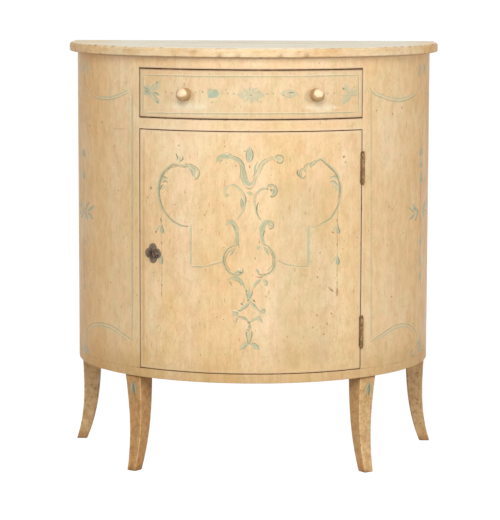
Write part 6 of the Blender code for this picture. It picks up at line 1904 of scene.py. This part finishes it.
RIGHT_SIDE_STROKES = {
    "upright": ("faint", 2.3, "even", ((371.4, 341.8), (371.2, 88))),
    "swag": ("line", 1.9, "even", ((369.4, 85.6), (372.2, 91.6), (376.8, 95.4), (382.4, 97.6),
        (390.6, 100.4), (398.3, 101.4), (404.9, 100.4), (410, 98.4), (414.1, 95.8), (417, 92.4))),
    "swag_light": ("pale", 1.2, "swell", ((374.6, 91.4), (379.2, 94), (385.6, 96), (392, 97.8),
        (398.6, 98.6), (404.6, 97.8), (409.6, 95.6), (413.8, 92.8))),
    "scroll_stem": ("faint", 1.8, "even", ((417.4, 92.2), (419.4, 86), (420.6, 79.4))),
    "scroll_leaf": ("leaf", 3.8, "leaf", ((420.8, 63), (419.6, 69.4), (418, 77))),
    "scroll_leaf_high": ("faint", 2.0, "leaf", ((419.4, 64.8), (417.4, 67), (415.4, 71))),
    "arch": ("line", 1.8, "even", ((370.5, 342.2), (378.8, 335.8), (387.1, 330.1), (394.1, 325.8),
        (400, 323.8), (406, 323.8), (411.4, 325.8), (415.6, 331), (417.2, 338.6), (416.4, 349.6))),
    "arch_light": ("pale", 1.1, "swell", ((374.6, 342), (381.6, 337.2), (389, 332.4),
        (395.6, 328.6), (402.6, 326.6), (408.4, 327.8), (412.6, 331.8), (414.4, 337.6))),
    "arch_curl": ("rib", 1.8, "taper", ((416.4, 349.6), (414.6, 354.6), (411.4, 355.6),
        (410.6, 352), (412.8, 350.4))),
    "arch_leaf": ("leaf", 2.6, "leaf", ((417.4, 341), (419, 346.6), (417.6, 352.6))),
    "pendant_string": ("string", 1.4, "even", ((420.2, 128), (420.6, 200), (420.5, 292))),
    "pendant_bell_high": ("bud", 5.0, "bell", ((420.6, 147), (420.6, 151), (420.6, 156))),
    "pendant_bell_middle": ("bud", 5.0, "bell", ((420.8, 158), (420.8, 162), (420.8, 168))),
    "pendant_bell_low": ("bud", 5.0, "bell", ((420.6, 171), (420.6, 176), (420.6, 183))),
    "pendant_dash_high": ("leaf", 3.2, "leaf", ((420.5, 237), (420.5, 246))),
    "pendant_dash_middle": ("leaf", 3.2, "leaf", ((420, 257), (420, 267))),
    "pendant_dash_low": ("leaf", 2.6, "leaf", ((420.2, 272), (420.2, 280))),
    "rosette_high": ("leaf", 3.0, "leaf", ((417.4, 210), (414.6, 207), (412.6, 203.6))),
    "rosette_left": ("leaf", 2.6, "leaf", ((415.4, 212), (411.6, 209.4), (408.6, 206.6))),
    "rosette_low": ("leaf", 2.6, "leaf", ((415.4, 213), (412, 216.4), (409, 219.6))),
    "rosette_base": ("leaf", 3.0, "leaf", ((417.6, 212.6), (416.4, 217), (414.6, 220.4))),
    "rosette_heart": ("bud", 3.4, "leaf", ((418, 208.4), (417.6, 211.4), (417.8, 215))),
}

# Worm holes and stains: place and half width, in pixels of the photograph
DOOR_SPOTS = {
    "near_latch": (320.2, 252.7, 0.9), "low_right": (317.2, 277.2, 1.1),
    "right_low": (331.6, 313.5, 1.2), "low_cluster_first": (317, 315.4, 1.1),
    "low_cluster_second": (327, 323.7, 1.2), "low_cluster_third": (313.1, 327.6, 1.0),
    "low_cluster_fourth": (323.3, 334.2, 1.0), "by_right_arm": (271, 175.2, 0.8),
    "by_right_scroll": (305.4, 213, 0.9), "corner_high": (344, 156.8, 1.5),
    "corner_low": (345.6, 162.2, 1.3), "by_left_arm": (236, 166, 0.9),
    "by_left_scroll": (175.2, 204.6, 0.7), "high_left": (178.8, 145.6, 1.0),
    "left_edge": (151, 188, 1.6), "left_edge_low": (147.4, 197.6, 1.2),
    "by_flame": (244.8, 151.2, 0.8), "under_bead": (248.2, 201.2, 0.8),
    "middle_left": (223.6, 205.4, 0.8), "middle_low": (204.6, 215, 0.9),
    "by_left_fall": (202, 229.6, 0.7), "top_left": (224.8, 146.4, 0.9),
}
SIDE_SPOTS = {
    "left_high": (102, 122, 1.6), "left_outer": (89.7, 125.6, 1.6),
    "left_middle": (118.4, 190.6, 1.0), "left_low": (110.6, 282.4, 1.1),
    "left_base": (121.4, 306.8, 1.0), "right_high": (402, 107.7, 1.5),
    "right_inner": (376.6, 110.5, 1.0), "right_middle": (392.7, 113.8, 1.2),
    "right_low": (391.6, 296.6, 1.1), "right_base": (404.4, 306.2, 1.0),
}

# Leaves on the legs: recipe, half width, shape and points, in metres across and up the leg
LEG_STROKES = {
    "leaf_left": ("leaf", 0.0038, "leaf", ((-0.001, 0.202), (-0.0062, 0.190), (-0.0078, 0.172))),
    "leaf_middle": ("dark", 0.0040, "leaf", ((-0.001, 0.204), (0.001, 0.187), (0.0, 0.168))),
    "leaf_right": ("leaf", 0.0036, "leaf", ((0.001, 0.202), (0.0052, 0.190), (0.0062, 0.174))),
    "knot": ("hair", 0.0014, "leaf", ((-0.006, 0.203), (0.007, 0.201))),
    "stem": ("hair", 0.0011, "leaf", ((0.0, 0.170), (0.001, 0.155), (0.0, 0.138))),
    "stain_high": ("stain", 0.0014, "leaf", ((0.004, 0.160), (0.004, 0.156))),
    "stain_edge": ("stain", 0.0012, "leaf", ((0.010, 0.147), (0.010, 0.143))),
    "stain_low": ("stain", 0.0017, "leaf", ((0.006, 0.096), (0.006, 0.090))),
    "stain_foot": ("stain", 0.0022, "leaf", ((-0.002, 0.034), (0.004, 0.032))),
}
LEG_LEAF_SHIFT = {-1: 0.0, 1: 0.006}


def ink_colours():
    """Return the inks of the ornament by name."""
    shades = colours()
    return {"dark": Vector(shades.ink_dark), "mid": Vector(shades.ink_mid),
            "pale": Vector(shades.ink_pale), "light": Vector(shades.ink_light),
            "blue": Vector(shades.ink_blue), "grey": Vector(shades.ink_grey),
            "brown": Vector(shades.bare_wood), "teal": Vector(shades.ink_teal),
            "ochre": Vector(shades.ink_ochre)}


def recipe_at(recipe, across, inks):
    """Return the ink and the cover of a recipe at a place across the stroke."""
    stops = RECIPES[recipe]
    for first, second in zip(stops, stops[1:]):
        if across <= second[0]:
            share = (across - first[0]) / (second[0] - first[0])
            ink = inks[first[1]].lerp(inks[second[1]], share)
            return ink, first[2] + (second[2] - first[2]) * share
    return inks[stops[-1][1]], stops[-1][2]


def stroke_width(shape, share):
    """Return the width of a stroke, as a part of its widest, at a share of its length."""
    ends = min(1.0, share / 0.05 + 0.15, (1.0 - share) / 0.05 + 0.15)
    if shape == "leaf":
        return max(0.05, sin(pi * share) ** 0.8)
    if shape == "bell":
        return max(0.05, min(1.0, share * 1.5) ** 0.9 * min(1.0, (1.0 - share) * 5 + 0.2))
    if shape == "flame":
        return max(0.04, sin(pi * share ** 1.25) ** 1.1)
    if shape == "swell":
        return ends * (0.35 + 0.65 * sin(pi * share) ** 0.9)
    if shape == "taper":
        return ends * (0.55 + 0.45 * share)
    if shape == "arm":
        return ends * (0.75 + 0.25 * cos(pi * (share - 0.3)))
    return ends


def smooth_path(points, count):
    """Return evenly spaced points on a smooth curve through the given ones, with its ways."""
    rounded = [points[0] * 2 - points[1]] + points + [points[-1] * 2 - points[-2]]
    fine = []
    for index in range(len(points) - 1):
        before, first, second, after = rounded[index:index + 4]
        for step in range(CURVE_STEPS):
            share = step / CURVE_STEPS
            fine.append(0.5 * (2 * first + (second - before) * share
                               + (2 * before - 5 * first + 4 * second - after) * share ** 2
                               + (3 * first - before - 3 * second + after) * share ** 3))
    fine.append(points[-1])
    lengths = [0.0]
    for first, second in zip(fine, fine[1:]):
        lengths.append(lengths[-1] + (second - first).length)
    places = []
    index = 0
    for step in range(count + 1):
        target = lengths[-1] * step / count
        while index < len(fine) - 2 and lengths[index + 1] < target:
            index += 1
        span = lengths[index + 1] - lengths[index]
        share = (target - lengths[index]) / span
        way = (fine[min(index + 2, len(fine) - 1)] - fine[max(index - 1, 0)]).normalized()
        places.append((fine[index].lerp(fine[index + 1], share), way))
    return places, lengths[-1]


def path_length(points):
    """Return the length of the straight lines that join some points."""
    return sum((second - first).length for first, second in zip(points, points[1:]))


class Brush:
    """Lays strokes of paint on a surface and gathers them in one shape."""

    def __init__(self, surface):
        self.surface = surface
        self.body = bmesh.new()
        self.ink = self.body.verts.layers.float_color.new("ink")
        self.across = self.body.verts.layers.float.new("across")
        self.inks = ink_colours()
        self.count = 0

    def stroke(self, recipe, half_width, shape, points):
        """Lay one stroke through points of the surface, in metres."""
        self.count += 1
        step = STROKE_STEP if len(points) > 2 else STRAIGHT_STEP
        steps = max(FEWEST_STEPS, ceil(path_length(points) / step))
        places, length = smooth_path(points, steps)
        made = bmesh.ops.create_grid(self.body, x_segments=steps, y_segments=STROKE_FACES_ACROSS,
                                     size=1)
        verts = made["verts"]
        layer = -GROUND_DROP if recipe in GROUNDS else LAYER_LIFT * (self.count % LAYERS)
        for vert in verts:
            share = (vert.co.x + 1) / 2
            across = vert.co.y
            place, way = places[round(share * steps)]
            tremble = noise_at(length * share * TREMBLE_WAVE, self.count * TREMBLE_SEED, 0.0)
            drift = noise_at(length * share * DRIFT_WAVE, self.count * DRIFT_SEED, 7.0)
            width = half_width * stroke_width(shape, share) * (1 + TREMBLE * tremble)
            spot = place + Vector((-way.y, way.x)) * (width * across + drift * HAND_DRIFT)
            ink, cover = recipe_at(recipe, across, self.inks)
            vert[self.ink] = (*ink, cover)
            vert[self.across] = across
            lift = STROKE_CROWN * (1 - across ** 2) - STROKE_SINK * across ** 2
            vert.co = self.surface(spot.x, spot.y, lift + layer)
        faces = list({face for vert in verts for face in vert.link_faces})
        extruded = bmesh.ops.extrude_face_region(self.body, geom=faces)
        for item in extruded["geom"]:
            if isinstance(item, bmesh.types.BMVert):
                item.co += self.inward(item.co) * STROKE_THICKNESS

    def inward(self, place):
        """Return the way into the wood at a place."""
        return -bow_place(place)[2]

    def spot(self, place, half_width):
        """Lay one round stain."""
        reach = Vector((0.0, half_width))
        self.stroke("stain", half_width * SPOT_SPREAD, "leaf",
                    [place - reach, place, place + reach])


class LegBrush(Brush):
    """Lays strokes of paint on the outer face of a leg."""

    def inward(self, place):
        """Return the way into the leg."""
        return Vector((0.0, 1.0, 0.0))


def leg_face(across, height, lift):
    """Return a point of a front leg's outer face, before the leg is stood in its place."""
    down = 1.0 - height / (BASE_LOW.z - FIT_GAP)
    reach = leg_width(down) / 2 + leg_sweep(down, FRONT_LEG_KICK, FRONT_LEG_SWAY)
    return Vector((across, -reach - lift, height))


def front_place(across, down):
    """Return the arc length and the height that a pixel of the photograph shows."""
    rights, ups, forward = camera_axes()
    way = (forward * FOCAL_PIXELS + rights * (across - PHOTO_WIDTH / 2)
           + ups * (PHOTO_HEIGHT / 2 - down))
    flat = Vector((way.x, way.y))
    start = Vector((CAMERA_PLACE.x, CAMERA_PLACE.y - AXIS_Y))
    middle = start.dot(flat)
    spread = middle ** 2 - flat.length_squared * (start.length_squared - BODY_RADIUS ** 2)
    reach = (-middle - sqrt(max(spread, 0.0))) / flat.length_squared
    place = CAMERA_PLACE + way * reach
    return Vector((atan2(place.x, AXIS_Y - place.y) * BODY_RADIUS, place.z))


def ink_material(name, shades):
    """Return the ornament's material: brushed ink over old paint."""
    material, bench, shader = new_material(name, PAINT_SHINE)
    place = bench.add("ShaderNodeTexCoord").outputs["Object"]
    under, roughness, height = aged_paint(bench, place, shades)
    ink = bench.add("ShaderNodeAttribute", attribute_name="ink")
    inputs = {"Place": place, "Under": under, "Ink": ink.outputs["Color"],
              "Cover": ink.outputs["Alpha"], "Across": attribute_value(bench, "across")}
    brushed = bench.add("ShaderNodeGroup", inputs, node_tree=brushed_ink_group())
    finish_surface(bench, shader, brushed.outputs["Colour"], roughness, height, PAINT_RELIEF)
    return material


def lay_strokes(brush, strokes, flip=None):
    """Lay a set of strokes given in pixels, as they are or mirrored onto the hidden part."""
    for recipe, half_width, shape, points in strokes.values():
        places = [front_place(*point) for point in points]
        if flip:
            places = [Vector((flip(place.x), place.y)) for place in places]
        brush.stroke(recipe, half_width * PIXEL_SIZE, shape, places)


def add_ornament(name, brush, carrier, part=""):
    """Make a piece of the strokes that a brush has laid over the paint of a part."""
    material = ink_material(name, shades_of(part))
    return add_piece(name, brush.body, [material], carrier)


class CABINET_OT_door_ornament(bpy.types.Operator):
    """Paint the scrolls, bellflowers and leaves of the door"""

    bl_idname = "cabinet.door_ornament"
    bl_label = "Ornament of the door"

    def execute(self, context):
        brush = Brush(on_bow)
        lay_strokes(brush, DOOR_STROKES)
        for across, down, half_width in DOOR_SPOTS.values():
            brush.spot(front_place(across, down), half_width * PIXEL_SIZE)
        add_ornament("door_ornament", brush, "door")
        return {"FINISHED"}


class CABINET_OT_drawer_ornament(bpy.types.Operator):
    """Paint the border, tulips and rosette of the drawer"""

    bl_idname = "cabinet.drawer_ornament"
    bl_label = "Ornament of the drawer"

    def execute(self, context):
        brush = Brush(on_bow)
        lay_strokes(brush, DRAWER_STROKES)
        add_ornament("drawer_ornament", brush, "drawer", "drawer")
        return {"FINISHED"}


class CABINET_OT_side_ornament(bpy.types.Operator):
    """Paint the framed swags of the sides and the leaves of the legs"""

    bl_idname = "cabinet.side_ornament"
    bl_label = "Ornament of sides and legs"

    def execute(self, context):
        brush = Brush(on_bow)
        for side, strokes in ((-1, LEFT_SIDE_STROKES), (1, RIGHT_SIDE_STROKES)):
            lay_strokes(brush, strokes)
            lay_strokes(brush, strokes, self.mirror_onto_return(side, strokes))
        for across, down, half_width in SIDE_SPOTS.values():
            brush.spot(front_place(across, down), half_width * PIXEL_SIZE)
        add_ornament("side_ornament", brush, "carcass")
        for side in (-1, 1):
            self.paint_leg(side)
        return {"FINISHED"}

    def mirror_onto_return(self, side, strokes):
        """Return what turns a visible arc into its twin on the part that the photo hides."""
        string = strokes["pendant_string"][3]
        axis = front_place(*string[1]).x
        near = front_place(*strokes["arch"][3][0]).x
        far = side * (BODY_RADIUS * pi / 2 + BACK_Y - AXIS_Y - SIDE_MARGIN)
        share = (far - axis) / (axis - near)
        return lambda arc: axis + (axis - arc) * share

    def paint_leg(self, side):
        """Paint the small leaves of one front leg."""
        brush = LegBrush(leg_face)
        for recipe, half_width, shape, points in LEG_STROKES.values():
            shift = Vector((LEG_LEAF_SHIFT[side], 0.0))
            brush.stroke(recipe, half_width, shape, [Vector(point) + shift for point in points])
        matrix = leg_matrix(FRONT_LEG_PLACE, side, FRONT_LEG_TURN)
        bmesh.ops.transform(brush.body, matrix=matrix, verts=brush.body.verts)
        add_ornament("leg_ornament_" + side_name(side), brush, "carcass", "leg")


def studio_material():
    """Return the pale material of the floor, which is bright to the camera."""
    material = bpy.data.materials.new("pale studio floor")
    material.use_nodes = True
    material.node_tree.nodes.clear()
    bench = NodeBench(material.node_tree)
    place = bench.add("ShaderNodeTexCoord").outputs["Object"]
    tone = bench.mix(bench.noise(place, FLOOR_WAVE), *FLOOR_TONES)
    matt = bench.add("ShaderNodeBsdfDiffuse", {"Color": tone})
    glow = bench.add("ShaderNodeEmission", {"Color": WHITE, "Strength": FLOOR_GLOW_STRENGTH})
    path = bench.add("ShaderNodeLightPath")
    share = bench.maths("MULTIPLY", seen_directly(bench, path), FLOOR_GLOW)
    blend = bench.add("ShaderNodeMixShader", {"Fac": share})
    bench.tree.links.new(matt.outputs["BSDF"], blend.inputs[1])
    bench.tree.links.new(glow.outputs["Emission"], blend.inputs[2])
    bench.add("ShaderNodeOutputMaterial", {"Surface": blend.outputs["Shader"]})
    return material


def seen_directly(bench, path):
    """Return 1 for rays that the camera, a mirror or glass sends, and 0 for light."""
    mirrored = bench.maths("MAXIMUM", path.outputs["Is Camera Ray"], path.outputs["Is Glossy Ray"])
    return bench.maths("MAXIMUM", mirrored, path.outputs["Is Transmission Ray"])


class CABINET_OT_stage(bpy.types.Operator):
    """Make the floor, the soft light and the camera"""

    bl_idname = "cabinet.stage"
    bl_label = "Floor, light and camera"

    def execute(self, context):
        body = bmesh.new()
        bmesh.ops.create_circle(body, cap_ends=True, segments=FLOOR_SEGMENTS,
                                radius=FLOOR_RADIUS)
        mesh = bpy.data.meshes.new("studio_floor")
        body.to_mesh(mesh)
        body.free()
        mesh.materials.append(studio_material())
        floor = bpy.data.objects.new("studio_floor", mesh)
        context.collection.objects.link(floor)
        self.light_world()
        for name, place, width, power in LAMPS:
            self.add_lamp(name, place, width, power)
        self.add_camera()
        context.scene.view_settings.view_transform = "Standard"
        return {"FINISHED"}

    def light_world(self):
        """Make a soft even sky that the camera sees as white."""
        world = bpy.data.worlds.new("soft studio")
        world.use_nodes = True
        world.node_tree.nodes.clear()
        bench = NodeBench(world.node_tree)
        path = bench.add("ShaderNodeLightPath")
        seen = seen_directly(bench, path)
        strength = bench.maths("ADD", bench.maths("MULTIPLY", seen, 1.0 - SKY_LIGHT), SKY_LIGHT)
        sky = bench.add("ShaderNodeBackground", {"Color": WHITE, "Strength": strength})
        bench.add("ShaderNodeOutputWorld", {"Surface": sky.outputs["Background"]})
        bpy.context.scene.world = world

    def add_lamp(self, name, place, width, power):
        """Add one square lamp that faces the middle of the cabinet."""
        data = bpy.data.lights.new(name, "AREA")
        data.shape = "SQUARE"
        data.size = width
        data.energy = power
        lamp = bpy.data.objects.new(name, data)
        aim = Vector((0.0, 0.0, TOP_HIGH.z * LAMP_AIM_SHARE)) - Vector(place)
        lamp.rotation_euler = aim.to_track_quat("-Z", "Y").to_euler()
        lamp.location = place
        bpy.context.collection.objects.link(lamp)

    def add_camera(self):
        """Set the camera where the photograph was taken from."""
        data = bpy.data.cameras.new("photo_camera")
        data.sensor_width = SENSOR_WIDTH
        data.lens = FOCAL_PIXELS * SENSOR_WIDTH / max(PHOTO_WIDTH, PHOTO_HEIGHT)
        data.clip_end = CAMERA_REACH
        camera = bpy.data.objects.new("photo_camera", data)
        rights, ups, forward = camera_axes()
        camera.matrix_world = Matrix.Translation(CAMERA_PLACE) @ Matrix(
            (rights, ups, -forward)).transposed().to_4x4()
        bpy.context.collection.objects.link(camera)
        bpy.context.scene.camera = camera


def camera_axes():
    """Return the ways to the right of, up from and into the photograph."""
    forward = Vector((-sin(CAMERA_YAW) * cos(CAMERA_PITCH), cos(CAMERA_YAW) * cos(CAMERA_PITCH),
                      -sin(CAMERA_PITCH)))
    level = Vector((cos(CAMERA_YAW), sin(CAMERA_YAW), 0.0))
    upward = level.cross(forward)
    rights = level * cos(CAMERA_ROLL) + upward * sin(CAMERA_ROLL)
    ups = upward * cos(CAMERA_ROLL) - level * sin(CAMERA_ROLL)
    return rights, ups, forward


class CABINET_PT_sidebar(bpy.types.Panel):
    """Lists the pieces of the cabinet"""

    bl_idname = "CABINET_PT_sidebar"
    bl_label = "Demilune Cabinet"
    bl_space_type = "VIEW_3D"
    bl_region_type = "UI"
    bl_category = "Cabinet"

    def draw(self, context):
        layout = self.layout
        for piece in PIECES:
            layout.operator(piece.bl_idname)
        for group, label in ((context.scene.cabinet_sizes, "Sizes"),
                             (context.scene.cabinet_colours, "Colours")):
            box = layout.box()
            box.label(text=label)
            for name in group.__annotations__:
                box.prop(group, name)


PIECES = (CABINET_OT_boards, CABINET_OT_sides, CABINET_OT_rails, CABINET_OT_drawer,
          CABINET_OT_door, CABINET_OT_legs, CABINET_OT_hinges, CABINET_OT_lock,
          CABINET_OT_door_ornament, CABINET_OT_drawer_ornament, CABINET_OT_side_ornament,
          CABINET_OT_woodwork, CABINET_OT_stage)
CLASSES = (CabinetSizes, CabinetColours) + PIECES + (CABINET_PT_sidebar,)


def register():
    """Make the classes known to Blender."""
    for item in CLASSES:
        bpy.utils.register_class(item)
    bpy.types.Scene.cabinet_sizes = PointerProperty(type=CabinetSizes)
    bpy.types.Scene.cabinet_colours = PointerProperty(type=CabinetColours)


def unregister():
    """Take the classes out of Blender again."""
    del bpy.types.Scene.cabinet_colours
    del bpy.types.Scene.cabinet_sizes
    for item in reversed(CLASSES):
        bpy.utils.unregister_class(item)


def main():
    """Make the whole cabinet."""
    register()
    for piece in PIECES:
        group, name = piece.bl_idname.split(".")
        getattr(getattr(bpy.ops, group), name)()


if __name__ == "__main__":
    main()
